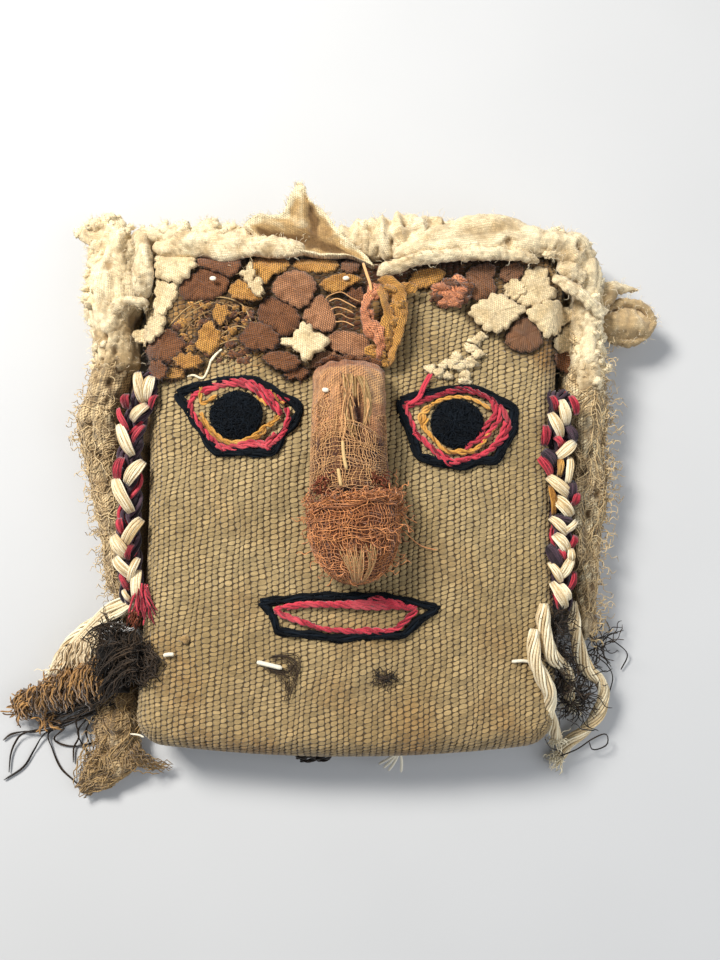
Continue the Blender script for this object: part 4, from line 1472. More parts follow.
def makeCrumpled():
    random = np.random.default_rng(81)
    band = newPiece()
    for finish, kind in enumerate(("salmon", "ochre")):
        for k, (route, wide, thick, lean) in enumerate(crumpledBand[kind]):
            addStrip(band, route, wide, thick, 400 + 10 * finish + k, lean, 0.62, finish, 0.5)
    for k, (x, y, z, r, finish) in enumerate(bandLumps):
        addBlob(band, (x, y, z), (r, r * 0.8, r * 0.6), 420 + k, 0.4, 0.55, finish, 10, 14)
    cloths = [materials["salmon"], materials["ochre"]]
    made = makePiece(band, "crumpled_band_cloth", cloths, "patch_ochre", ["crumpled_band"])
    cluster = newPiece()
    for k, (x, y, r) in enumerate(floretCluster):
        centre = onFace([x, y], 2.2 + 0.5 * math.sin(k * 2.1))
        tone = random.uniform(0.4, 0.7)
        addBlob(cluster, centre, (r * 1.25, r, 1.1), 430 + k, 0.45, tone, k % 3 == 0, 10, 14)
    cloths = [materials["salmon"], materials["brown"]]
    makePiece(cluster, "crumpled_patch_cloth", cloths, "patch_brown", ["crumpled_patch"])
    chain = newPiece()
    for k, (x, y, r) in enumerate(lobeChain):
        centre = onFace([x, y], 0.7 + 0.15 * math.sin(k * 1.7))
        addBlob(chain, centre, (r * 1.1, r * 0.85, 0.42), 450 + k, 0.5, 0.65)
    makePiece(chain, "cream_lobe_chain", [materials["cream"]], "patch_cream", ["lobe_chain"])

    # ochre and brown remains worn into the cloth round the patches on the left
    shreds = newPiece()
    for k in range(84):
        x, y, r = random.uniform(*wornX), random.uniform(*wornY), random.uniform(0.5, 1.4)
        size = (r * random.uniform(0.8, 1.7), r, 0.5)
        addBlob(shreds, onFace([x, y], 0.3), size, 800 + k, 0.4, 0.5, int(random.integers(0, 2)), 5, 8)
    number = 170
    starts = np.stack([random.uniform(-52, -24, number), random.uniform(37, 57, number)], axis=1)
    headings = random.normal(size=(number, 3)) * [1, 0.7, 0.05]
    addStray(shreds, random, onFace(starts, 0.5), headings, (1, 3.2), 0.13, (0, 0.9), finish=3,
             taper=(0.5, 0.3), settle=lambda lines: onFace(lines, 0.6), steps=6, curl=0.3, curlLength=3)
    for line in pulledYarns:
        addTubes(shreds, onFace(smoothLine(line, 26), 0.6), 0.2, 5, random.uniform(0.2, 0.9), 4)
    addBlob(shreds, onFace(slub, 0.5), (1.3, 1.1, 0.5), 899, 0.3, 0.62, 4, 8, 12)
    yarns = [materials[kind] for kind in ("ochre", "brown", "rose", "wool", "wornYarn")]
    makePiece(shreds, "worn_shreds", yarns, "patch_ochre")


makeCrumpled()
print("crumpled pieces made")


# Gauze at the sides and the lower left corner: matted cloth with open yarn work over it

gauze = {
    "left": {
        "lining": [(-61.6, 40, 6.6, 4.4, 6), (-61.4, 20, 6.8, 4.6, 6.2), (-60.6, 0, 6.8, 4.6, 6.2),
            (-59.8, -20, 6.8, 4.6, 6.2), (-59.4, -37, 6.4, 4.4, 5.8)],
        "stations": [(-69.8, 43, 9, 5.6, 8.4), (-70.6, 38, 9, 6.2, 8.6), (-72, 32, 9, 6.6, 8.8),
            (-72.8, 26, 8.8, 6.8, 8.8), (-72.4, 17, 8.6, 6.8, 8.4), (-69.6, 8, 8.4, 6.2, 8),
            (-67.4, -2, 8.2, 6, 7.6), (-66.6, -12, 8, 5.8, 7.4), (-65.8, -20, 7, 4.6, 6.4),
            (-64.6, -28, 6.4, 3.4, 5.6), (-63.6, -36, 6, 2.6, 5)],
        "grid": (120, 46), "stretch": (1, 0.5, 1), "net": (0.14, 0.95, 13, 46), "outer": -1, "fringe": 230,
        "dull": 0.1, "loose": (1.5, 5.5), "flat": (0.043, 0.072),
        "holes": [(-69, 34.5, 1.2), (-66.6, 38.6, 0.9), (-71.6, 13.4, 1.1), (-70, 29, 0.7),
            (-75, 22, 0.8)],
        "yarn": "gauzeYarn"},
    "right": {
        "stations": [(69.8, 52, 9, 5.2, 8.6), (70, 40, 9, 6.6, 8.8), (70, 31, 8.8, 7, 8.6),
            (69.4, 18, 8.6, 6.8, 8.4), (69, 8, 8.4, 6.8, 8.2), (67.8, -4, 8.2, 6, 7.8),
            (67.6, -14, 8, 5, 7.2), (67.9, -24, 7.4, 4, 6.4), (68.4, -33, 6.4, 3.2, 5.6),
            (68.6, -40, 5.4, 2, 4.6)],
        "grid": (130, 42), "stretch": (1.6, 0.3, 1), "net": (0.16, 0.92, 13, 50), "outer": 1,
        "fringe": 330, "dull": -0.45, "loose": (2, 7), "flat": (0.026, 0.088),
        "holes": [(70, 14, 1.2), (67.4, 8.6, 1), (72, 3, 1), (69, -3.4, 1.1), (66.6, 27, 0.8)],
        "yarn": "gauzeYarn"},
    "corner": {
        "stations": [(-66.4, -40, 4.8, 5.4, 4.6), (-66.6, -52, 4.8, 6, 4.6), (-66.4, -64, 4.6, 6.4, 4.4),
            (-67.6, -72, 3.8, 6.6, 3.6), (-72.4, -78, 2.9, 4.4, 2.6), (-78, -83, 1.8, 1.4, 1.2)],
        "grid": (80, 36), "stretch": (1, 0.6, 1), "net": (0.0, 1.0, 14, 36), "outer": -1, "fringe": 70,
        "dull": 0.5, "yarn": "wornYarn", "flat": (0.016, 0.05),
        "holes": [(-67.4, -58, 0.9), (-64.4, -66, 0.9), (-70, -71, 0.9)],
        "loose": (1.2, 4.2)},
}


def hollows(points, holes):
    # 1 in the middle of each worn hole (x, y, radius) and 0 away from them
    found = np.zeros(points.shape[:-1])
    for x, y, radius in holes:
        near = np.hypot(points[..., 0] - x, 0.7 * (points[..., 1] - y)) / radius
        found = np.maximum(found, np.exp(-near ** 4) * (points[..., 2] > 6))
    return found


def softFolds(points, amount, stretch, seed):
    # rounded folds that run the way the cloth was gathered, with creases between them
    flat = points * stretch
    broad = amount * (0.8 * waves(flat, 8, seed) + 0.7 * crumple(flat, 5.5, seed + 1) - 0.6)
    return broad + 0.36 * fineCrumple(points, stretch, seed) + 0.16 * waves(points, 1.5, seed + 2) - 0.2


def fineCrumple(points, stretch, seed):
    return crumple(points * np.sqrt(stretch), 3.2, seed + 3)


def makeGauze(side):
    look = gauze[side]
    seed = 500 + 20 * list(gauze).index(side)
    random = np.random.default_rng(seed)
    place = rollPlace(look["stations"])
    stretch = look["stretch"]

    def lift(points):
        return softFolds(points, 0.9, stretch, seed) - 1.6 * hollows(points, look["holes"])

    def tone(points):
        matted = 0.04 + 0.36 * crumple(points * stretch, 3.4, seed + 4)
        matted = matted + 0.22 * fineCrumple(points, stretch, seed) + 0.06 * waves(points, 1.1, seed + 5)
        return np.clip(matted, 0, 0.62) * (1 - 0.7 * hollows(points, look["holes"]))

    def stain(points):
        return 0.45 * waves(points, 9, seed + 6) + look["dull"]

    under = newPiece()
    rollGrid(under, place, *look["grid"], lift, tone, 0.8, blunt=0.05, stain=stain)
    if "lining" in look:
        lining = rollPlace(look["lining"])
        rollGrid(under, lining, 60, 20, lambda points: 0.4 * waves(points, 4, seed + 8), 0.12, 0.8)
    made = makePiece(under, f"gauze_{side}_under", [materials["gauze"]], "gauze", [f"gauze_{side}"])
    net = newPiece()
    start, end, along, around = look["net"]
    addNet(net, random, place, (start, end), (-1.7, 1.7), (along, around), (80, 20),
           lambda points: lift(points) + 0.35, 1.2, seed + 7, 0.92, over=0.14, radius=0.15)
    # curled threads on the matted part, loose ends and loops along the outer edge
    count = look["fringe"]
    at = random.uniform(0, 1, count)
    angle = np.where(at < start, random.uniform(-1.2, 1.6, count), random.uniform(0.9, 1.7, count))
    angle = look["outer"] * angle
    starts = place(at, angle, lift(place(at, angle)) + 0.15)
    headings = unit(starts - place(at, angle, -4.0)) * 0.6 + 0.8 * random.normal(size=(count, 3))
    addStray(net, random, starts, headings, look["loose"], 0.12, (0.4, 1.2), taper=(1, 0.4),
             steps=10, curl=0.8, curlLength=2.8, drop=0.25)
    makePiece(net, f"gauze_{side}_yarns", [materials[look["yarn"]]], "gauze")


for side in gauze:
    makeGauze(side)
print("gauze made")


# Cream cotton cloth round the top: folded rolls, the standing flap, the corner lump and loop.
# A roll is its stations, its grid, the depth of its folds and how far they stretch each way.

cotton = {
    "cloth_left_roll": {
        "rolls": [([(-66.6, 82, 10, 4.6, 6.6), (-68.4, 77, 10.6, 7.6, 9.2), (-69.2, 71, 11, 8, 10.2),
            (-69.8, 65, 11.4, 8.6, 10.6), (-70, 59, 11.2, 8.6, 10.6), (-69.8, 53, 10.8, 6.8, 10.2),
            (-69.6, 47, 10.2, 6, 9.6), (-69.8, 38, 9.4, 5.8, 8.8)], (110, 72), 1.3, (1, 0.4, 0.9)),
            ([(-60.4, 78, 19.4, 2.6, 3), (-58.9, 72, 22.2, 2.9, 3), (-58.9, 65, 22.8, 2.9, 3),
            (-58.2, 58.4, 21.6, 2.6, 2.6)], (52, 30), 0.8, (1, 0.5, 1)), ([(-68.8, 55.6, 19.6, 1.4, 1.3),
            (-64.6, 56.9, 21.6, 1.7, 1.5), (-60.6, 57, 22, 1.6, 1.5), (-57.2, 56.8, 21.6, 1.1, 1.1)],
            (30, 16), 0.3, (1, 1, 1)), ([(-75.6, 78, 10.6, 2, 2), (-75, 74, 14, 3, 3),
            (-73.4, 69, 17, 3, 2.6)], (30, 24), 0.9, (1, 1, 1))],
        "lumps": [(-77, 62.6, 12, 2.8, 3.6, 2.6), (-76.6, 57, 11, 2.6, 2.6, 2.4)],
        "holes": [(-69.6, 68.6, 1.3), (-62.2, 53.4, 2), (-70.4, 47.6, 0.8), (-67.4, 44, 0.9),
            (-71.8, 41, 0.7)],
        "rags": 44, "matted": 52, "fringe": (250, (-1.0, 0.1, 0.3)), "flat": (0.055, 0.042)},
    "cloth_left_tab": {
        "rolls": [([(-68, 79.6, 12.4, 4.4, 3.4), (-71.6, 81, 12.8, 5.8, 3), (-75.2, 81.8, 12.4, 5, 2.4),
            (-78.6, 81.4, 11.8, 3, 2), (-82, 80.9, 11.4, 1.5, 1.4)], (50, 34), 0.6, (1, 1, 1))],
        "lumps": [(-73.4, 85.4, 12, 2.8, 1.8, 1.6)], "rags": 16, "fringe": (80, (-0.6, 0.6, 0.2)),
        "flat": (0.02, 0.016)},
    "cloth_top_edge": {
        "rolls": [([(-66.4, 77.6, 10.5, 4.6, 9.4), (-58, 77.4, 11.6, 4.8, 10.6), (-50, 76.8, 12, 5, 11.2),
            (-40, 76.8, 12.4, 5.2, 11.8), (-28, 76.2, 12, 4.8, 11.4), (-8, 76, 11.4, 4.4, 10.8),
            (8, 76.4, 12, 5, 11.4), (24, 77, 12.4, 5.4, 11.8), (40, 77, 12, 5, 11.4),
            (54, 77, 11, 4.4, 10.4)], (190, 56), 1.1, (0.55, 1, 1)), ([(-57, 73.2, 21.6, 2.4, 2.2),
            (-46, 74, 23.4, 3.4, 2.6), (-36, 73.4, 23.8, 3.6, 2.6), (-26, 73, 24, 3.2, 2.4),
            (-12, 71.8, 24, 2.4, 1.8)], (80, 26), 0.7, (0.5, 1, 1)), ([(-5, 75.6, 20, 3, 3),
            (3, 76, 22, 5.4, 4), (12, 75.4, 22.6, 6.4, 4.2), (20, 77.6, 22, 6, 4), (29, 79.4, 20, 3.6, 3)],
            (70, 44), 1.1, (1.5, 0.6, 1))],
        "lumps": [(-53.8, 81.4, 15, 2.6, 2, 2.4), (-41, 82.2, 16, 3.6, 2.4, 2.6),
            (-34.6, 80.6, 18, 2.4, 1.8, 2), (8.6, 82, 17, 2, 2, 2), (18.4, 83.6, 16, 2.6, 2.2, 2.4),
            (43.6, 82, 17, 3.2, 2, 2.4), (30.4, 81.4, 17, 3, 2, 2.4)],
        "holes": [(6, 78, 0.9), (12.6, 73.4, 0.8), (16, 79.4, 0.8)], "rags": 96,
        "fringe": (340, (0, 1, 0.35)), "flat": (0.045, 0.13)},
    "cloth_corner_lump": {
        "rolls": [([(53.4, 77, 11, 4, 10), (60.6, 76.6, 11.4, 4.6, 10.6), (67.4, 73.4, 11.4, 5, 10.6),
            (70.6, 67, 11, 5, 10.4), (70.4, 60, 10.6, 5, 10.2), (70, 52, 10.4, 5, 10),
            (69.8, 43, 10.2, 5.2, 9.8), (69.6, 31, 9.6, 5.2, 9)], (120, 50), 1.0, (0.9, 0.5, 0.9)),
            ([(55.4, 72.6, 23, 2.4, 2), (60, 74, 22.8, 4.6, 3.4), (65.6, 72.4, 21.4, 4.8, 3.8),
            (69.6, 69, 19, 3.4, 3)], (40, 34), 0.9, (1, 1, 1)), ([(60.4, 68.6, 22.2, 2, 1.6),
            (64.4, 66.6, 22, 2.8, 2.2), (68.4, 64.6, 20.4, 2.4, 2)], (24, 20), 0.5, (1, 1, 1))],
        "lumps": [(57.6, 70.4, 24.4, 1.9, 1.2, 1), (61.6, 79.4, 17, 2.6, 2, 2.4)],
        "holes": [(66.4, 72.6, 1.1)], "rags": 50, "fringe": (240, (0.7, 0.5, 0.3)), "flat": (0.05, 0.045)},
    "cloth_right_roll": {
        "rolls": [([(8.2, 63.4, 26.4, 1.9, 1.6), (12, 65.4, 27, 2.1, 1.9), (18, 67.4, 27.2, 2, 1.8),
            (27, 69, 27, 1.9, 1.7), (38, 69.8, 26.6, 1.9, 1.7), (48, 69.6, 26, 1.7, 1.5),
            (54.6, 68, 25.2, 1.3, 1.1)], (100, 18), 0.3, (0.5, 1, 1)), ([(13, 69, 25, 2.2, 2.2),
            (20, 72.4, 25.2, 4.4, 3), (30, 74.4, 25, 5.2, 3.4), (41, 76.2, 24.4, 6.2, 3.6),
            (48, 75.4, 24, 5.6, 3.4), (56, 74.2, 23.2, 4.4, 3), (62, 74.6, 22, 3, 2.6)], (90, 40), 0.8,
            (0.3, 1, 0.7))],
        "lumps": [], "holes": [(45.6, 72.8, 1.2)], "rags": 0, "fringe": (110, (0, 1, 0.4)),
        "flat": (0.02, 0.055)},
    "cloth_corner_strip": {
        "rolls": [([(58.4, 63.8, 24.8, 1.3, 0.9), (62.6, 60.8, 25.2, 1.9, 1.2), (66, 58.6, 24.6, 1.9, 1.2),
            (70, 55.6, 23, 1.7, 1.2), (73.4, 53, 20.6, 1.3, 1)], (50, 18), 0.15, (1, 1, 1))],
        "lumps": [], "fringe": (16, (0.6, -0.3, 0.3)), "flat": (0.01, 0.02), "area": 0.0001},
    "cloth_corner_loop": {
        "rolls": [([(76.4, 58, 10, 1.3, 1.6), (81, 60, 11.4, 1.3, 1.6), (85.4, 60.2, 11.8, 1.3, 1.6),
            (89.2, 58.4, 11, 1.3, 1.6), (91, 54.8, 10, 1.3, 1.6), (89.4, 51, 9, 1.3, 1.6),
            (85, 49, 8.4, 1.3, 1.6), (80.6, 49.6, 8.4, 1.3, 1.6), (76.6, 52.4, 9, 1.3, 1.6)], (90, 14),
            0.25, (1, 1, 1)), ([(74.4, 60.6, 12, 2.2, 2.4), (77, 62.6, 13.4, 3, 3.2),
            (79.6, 64, 13, 2.2, 2.2), (83.4, 64.4, 12.2, 0.9, 0.9), (87, 64.2, 12, 0.4, 0.4)], (34, 20),
            0.4, (1, 1, 1)), ([(75.6, 55, 7, 3.4, 4), (79.6, 55, 8.4, 5, 4.8), (84, 54.6, 8.8, 5.6, 4.8),
            (88.2, 54.4, 8.4, 4.8, 4.2), (91, 54.4, 7.6, 2.4, 2.8)], (40, 34), 0.8, (1, 1, 1))],
        "lumps": [], "matted": 66, "dull": 1.0, "fringe": (90, (0.7, -0.2, 0.3)), "flat": (0.025, 0.024)},
}
fluffLook = {"radius": 0.06, "tone": (0.3, 1.2), "taper": (1, 0.4), "steps": 5}


def makeCotton(name):
    look = cotton[name]
    seed = 600 + 20 * list(cotton).index(name)
    random = np.random.default_rng(seed)
    holes = look.get("holes", [])
    matted, dull = look.get("matted", -99), look.get("dull", 0.4)
    cloth, fluff = newPiece(), newPiece()
    count, outward = look["fringe"]
    outward = np.array(outward)
    for k, (stations, grid, fold, stretch) in enumerate(look["rolls"]):
        place = rollPlace(stations)
        own = seed + 3 * k

        def lift(points):
            return softFolds(points, fold, stretch, own) - 1.6 * hollows(points, holes)

        def tone(points):
            crease = 0.15 + 0.6 * crumple(points * stretch, 5.5, own + 1)
            crease = crease + 0.55 * fineCrumple(points, stretch, own)
            return 0.62 * np.clip(crease, 0, 1) * (1 - 0.9 * hollows(points, holes))

        def stain(points):
            # below the line named matted the cloth is duller, like the gauze it runs into
            below = np.clip((matted - points[..., 1]) / 4, 0, 1)
            return 0.5 * waves(points, 8, seed + 7) + 0.1 + dull * below

        rollGrid(cloth, place, *grid, lift, tone, 0.45, blunt=0.09, stain=stain)
        number = count if k == 0 else count // 4
        at, angle = random.uniform(0, 1, number), random.uniform(-2.2, 2.2, number)
        starts = place(at, angle, lift(place(at, angle)) + 0.05)
        facing = unit(starts - place(at, angle, -4.0))
        headings = 0.6 * outward + 0.5 * facing + 0.55 * random.normal(size=(number, 3))
        addStray(fluff, random, starts, headings, (0.9, 3.0), **fluffLook, curlLength=2.6, drop=0.1)
        if k == 0:
            # small ragged bits of cloth along the outer side
            outer = starts[facing @ unit(outward) > 0.45][:look.get("rags", 0)]
            for m, spot in enumerate(outer):
                r = random.uniform(0.7, 1.7)
                size = (r, r * random.uniform(0.7, 1.3), r * 0.7)
                shade = 0.48 if spot[1] < matted else 0.6
                addBlob(cloth, spot, size, seed + 30 + m, 0.45, shade, 0, 5, 7)
    for k, lump in enumerate(look["lumps"]):
        centre, size = np.array(lump[:3]), lump[3:]
        addBlob(cloth, centre, size, seed + 10 + k, 0.2, 0.6, 0, 16, 22)
        around = unit(random.normal(size=(40, 3)) + outward * 0.8)
        addStray(fluff, random, centre + around * size, around, (0.6, 2), **fluffLook,
                 curl=0.4, curlLength=2.4, drop=0.1)
    made = makePiece(cloth, f"{name}_folds", [materials["cotton"]], "cotton", [name])
    look.get("area")
    makePiece(fluff, f"{name}_fluff", [materials["fluff"]], "cotton")


for name in cotton:
    makeCotton(name)
print("cotton made")


# The folded flap that stands over the top edge: thin tan cloth with a pale rolled rim. Each crease
# is its start and end, its depth and its width.

flap = {
    "base": 22.6, "centre": (-9, 75.8), "points": 140,
    "outline": [(-30.2, 79), (-28.2, 81.1), (-26, 82), (-22.5, 81.7), (-18.8, 82.6), (-17.7, 85),
        (-16.5, 88), (-15.1, 90.1), (-14, 90.7), (-12.5, 89.5), (-11.6, 87.1), (-9.6, 84.7), (-6.7, 82.6),
        (-4.4, 79.6), (-2.4, 76.9), (-0.1, 74.5), (2.2, 72.4), (5.1, 70), (7.8, 66.4), (5.4, 67.6),
        (0.5, 69.6), (-3.8, 69.7), (-8.1, 69.7), (-13.8, 70.9), (-18.1, 72.1), (-22.4, 73.6),
        (-25.8, 74.5), (-28.2, 76.6)],
    "creases": [((-27.5, 77), (-15, 75), -1.5, 1.5), ((-15, 75), (-3, 71.6), -0.9, 1.3), ((-13.6, 89),
        (-13, 78), 1.1, 1.2), ((-22, 80), (-14, 78.6), 0.8, 1.4), ((-8, 83), (0, 73), 0.7, 1.2),
        ((-10.4, 84), (-9.6, 76), -0.8, 1.2)],
    "shares": [0.08, 0.2, 0.33, 0.46, 0.58, 0.69, 0.79, 0.87, 0.93, 0.975, 1.0, 0.985, 0.9, 0.6, 0.25],
}


def creaseDistance(flat, start, end):
    start, end = np.array(start, float), np.array(end, float)
    way = end - start
    share = np.clip((flat - start) @ way / (way @ way), 0, 1)
    return np.linalg.norm(flat - start - share[..., None] * way, axis=-1)


def makeFlap():
    rim = smoothLine(flap["outline"], flap["points"] + 1, True)[:-1]
    centre = np.array(flap["centre"])
    share = np.array(flap["shares"])[:, None]
    flat = centre + (rim - centre) * share[..., None]
    relief = np.zeros(flat.shape[:2])
    stain = np.full(flat.shape[:2], 0.1)
    for start, end, depth, wide in flap["creases"]:
        near = np.exp(-(creaseDistance(flat, start, end) / wide) ** 2)
        relief += depth * near
        stain += (1.3 if depth < 0 else -0.5) * near
    edge = np.exp(-((share - 0.93) / 0.08) ** 2)
    high = 2.2 + 0.9 * edge + relief * (1 - edge) + 0.3 * waves(flat, 5, 701) + 0.15 * waves(flat, 2, 702)
    over = (np.arange(len(share)) < 10)[:, None]
    z = flap["base"] + np.where(over, high, 0.3 * waves(flat, 6, 701))
    z[10] = (z[9] + z[11]) / 2
    z = z + 1.6 * np.clip((flat[..., 1] - 80) / 8, 0, 1)
    stain = stain - 1.6 * edge + 0.3 * waves(flat, 4, 703)
    points = np.concatenate([flat, z[..., None]], axis=-1)
    weave = np.concatenate([flat / 0.5, stain[..., None]], axis=-1)
    piece = newPiece()
    addClosedGrid(piece, points, 0.62, weave)
    addBlob(piece, (-13.8, 89.2, 26), (1.5, 2.0, 1.2), 705, 0.2, 0.6, 1, 14, 18)
    cloths = [materials["flap"], materials["cotton"]]
    made = makePiece(piece, "cloth_flap_sheet", cloths, "cotton", ["cloth_flap"])
    random = np.random.default_rng(706)
    fluff = newPiece()
    pick = random.integers(0, flap["points"], 380)
    starts = points[9, pick[rim[pick, 1] > 71]]
    outward = unit(starts - np.append(centre, 24)) + 0.7 * random.normal(size=starts.shape)
    addStray(fluff, random, starts, outward, (0.5, 2.0), **fluffLook, curl=0.3, curlLength=2.4)
    makePiece(fluff, "cloth_flap_fluff", [materials["fluff"]], "cotton")


makeFlap()
print("flap made")


# Tufts: dark hair, brown and beige wool at the lower left, and dark fluff at the lower right


def lockLines(random, route, count, spreadOut, sway=0.4, swayLength=4.0, steps=26, ragged=0.15):
    # wavy strands that follow a route, spread (start, middle, end) millimetres about it
    line = smoothLine(route, steps)
    _, side, up = routeFrames(line)
    s = np.linspace(0, 1, steps)
    wide = np.interp(s, [0, 0.5, 1], spreadOut)
    length = lengthOf(line)
    lines = []
    for _ in range(count):
        a, b = random.normal(size=2)
        phase = random.uniform(0, fullTurn, 2)
        turns = length / swayLength * random.uniform(0.7, 1.3)
        across = a * wide * 0.5 + sway * np.sin(fullTurn * turns * s + phase[0])
        rise = b * wide * 0.3 + 0.6 * sway * np.cos(fullTurn * turns * s + phase[1])
        end = 1 - ragged * random.random() * 2
        got = line + side * across[:, None] + up * rise[:, None]
        lines.append(evenly(got[:max(6, int(steps * end))], steps))
    return aboveFloor(np.array(lines))


def addLock(piece, random, route, count, spreadOut, radius, finish=0, tone=(0, 1), sides=3, **more):
    lines = lockLines(random, route, count, spreadOut, **more)
    addTubes(piece, lines, radius, sides, random.uniform(*tone, count), finish, taper=(1, 0.3))


def addCurls(piece, random, centre, size, count, length, radius, tone, steps, loop, clear=None):
    # hairs coiled into a springy mass, which lies on the pad where clear is given
    starts = np.array(centre) + unit(random.normal(size=(count, 3))) * np.array(size) \
        * random.uniform(0.2, 1, (count, 1))
    headings = random.normal(size=(count, 3)) * [1, 1, 0.35]
    settle = None if clear is None else lambda lines: keepAbove(lines, clear)
    addStray(piece, random, starts, headings, length, radius, tone, settle=settle,
             steps=steps, curl=loop, curlLength=6.0, drop=0.1, bend=0.5)


def keepAbove(lines, clear):
    # hairs that cross the pad lie on it
    inside = insetOf(lines[..., 0], lines[..., 1]) > 0
    ground = np.where(inside, faceHeight(lines[..., 0], lines[..., 1]) + clear, lines[..., 2])
    lines[..., 2] = np.maximum(lines[..., 2], ground)
    return lines


hairSprays = [[(-66, -56.4, 9), (-73.1, -60.4, 7), (-82, -62.8, 4.6), (-88.2, -64.9, 3), (-95.4, -66.7, 2),
    (-97.9, -69.4, 1.2), (-99.2, -73, 0.8), (-99.4, -78, 0.6)], [(-72, -59, 7), (-80, -62.6, 4.8),
    (-88.7, -66.7, 2), (-92.2, -71.4, 1), (-95.3, -76.4, 0.6), (-100.8, -80.2, 0.5)], [(-74, -60.4, 6),
    (-82, -64.2, 3.6), (-87.9, -66.7, 1.6), (-87, -71.4, 0.8), (-84.5, -76.8, 0.6), (-81, -80, 0.5),
    (-77.6, -82.8, 0.5)], [(-86, -65, 3), (-92, -66.4, 2), (-95.8, -66.4, 1.2), (-99.4, -67.1, 0.8),
    (-101.6, -68.9, 0.5)], [(-72, -58, 8), (-78.6, -62, 5), (-79, -67.6, 2), (-80.7, -70.9, 1),
    (-80.7, -75.2, 0.6)], [(-76, -62, 5), (-79, -66, 2.4), (-78.8, -69, 1), (-77.4, -71.6, 0.8),
    (-76.1, -74.5, 0.6)], [(-83, -65, 3), (-86.4, -68.4, 1), (-83.3, -70.2, 0.7), (-78.9, -70.5, 0.7),
    (-74.5, -69.4, 1), (-72.6, -67, 3)], [(-69, -58, 8), (-74, -62, 5), (-77, -66, 2), (-76, -70, 1)],
    [(-68, -57, 9), (-71, -61, 6), (-71.4, -65, 5), (-69.4, -68.6, 5.4)], [(-90, -62, 4),
    (-93.9, -61, 4.6), (-96.2, -58, 5.4), (-94.4, -56.2, 6), (-93.2, -58, 5.4)], [(-88, -58, 6),
    (-91.6, -55.6, 7), (-94, -56.6, 6.4), (-92.6, -59, 5.6)], [(-61, -34.4, 19), (-67, -34.2, 18),
    (-71.8, -36, 16), (-76.6, -39.6, 13), (-81, -40.8, 11), (-77.4, -42, 11)], [(-62, -35, 19),
    (-70, -36.4, 16), (-75.4, -41, 12.4), (-79.4, -45.8, 9), (-81, -47.4, 7.6)], [(-63, -36, 18),
    (-70.6, -38.4, 15), (-74, -42.4, 12), (-77.6, -47, 9), (-78.4, -48.8, 8)]]
# masses of curled hair: centre, size, number of hairs and their lengths
hairMass = [((-65.4, -39.6, 18.6), (4.4, 2.8, 2.2), 90, (3, 6)),
            ((-59.4, -41, 22), (4.4, 3, 2), 110, (3, 6)),
            ((-58, -46.6, 22.2), (3.8, 2.6, 2), 70, (3, 6)),
            ((-67, -44.6, 16.6), (3.4, 3.4, 2.4), 80, (3, 7)),
            ((-66.4, -36.4, 16), (3.8, 2.2, 2), 80, (3, 6))]
fluffMass = [((57.4, -34, 21), (1.8, 5, 1.6), 70, (3, 6)), ((57.8, -42, 19.4), (2.2, 5, 1.8), 100, (3, 6)),
             ((60.8, -50, 15), (3, 4.4, 2), 110, (3, 7)), ((65.6, -56, 9), (4, 4.4, 2), 100, (3, 8)),
             ((67, -47, 9), (2, 5, 2), 50, (4, 9)), ((73, -41, 6), (2, 2.6, 2), 28, (5, 10))]
fluffHairs = [[(71, -40, 8), (75, -38.6, 6), (79, -40.6, 4), (82.6, -44, 2), (80.8, -48.6, 1)],
              [(72, -44, 6), (76, -47, 4), (78, -51, 2), (76.4, -57, 1)],
              [(73, -41, 7), (76.6, -38, 5), (79.4, -37.6, 4)],
              [(54, -65.4, 19), (57, -69, 12), (61, -71, 7), (62.6, -73.6, 3)],
              [(61, -72.4, 6), (66, -70.4, 6), (70.4, -67.6, 6), (74.6, -66.4, 5), (75, -69.6, 4),
               (71, -71, 4), (69.6, -68.4, 5)],
              [(60, -60, 20), (63.6, -62, 16), (66, -64, 11), (70.6, -65, 7.6)]]
# locks that cover the wool: route, hairs, spread and thickness
hairLocks = [([(-57, -44.4, 23), (-61.1, -45.2, 21.4), (-65.9, -49.4, 17), (-70.6, -54.6, 11.6),
               (-77.4, -58.8, 7.4), (-83.5, -62, 4.2), (-92, -64.6, 2.2)], 64, (4.4, 3.8, 2.4), 0.17, 9, 24),
             ([(-61, -41, 21), (-64.6, -45.4, 19), (-69, -50.6, 13.4), (-74.6, -56.4, 9)],
              50, (4, 4, 3), 0.15, 8, 18)]
cornerShreds = [([(-63, -71, 7), (-57.6, -74.4, 5.4), (-50, -76.4, 3)], 44, (4, 2.2, 1.6), 0.16, 15),
                ([(-71, -72, 5), (-75, -77, 3), (-78.6, -83, 1)], 34, (7, 5, 3), 0.2, 14)]


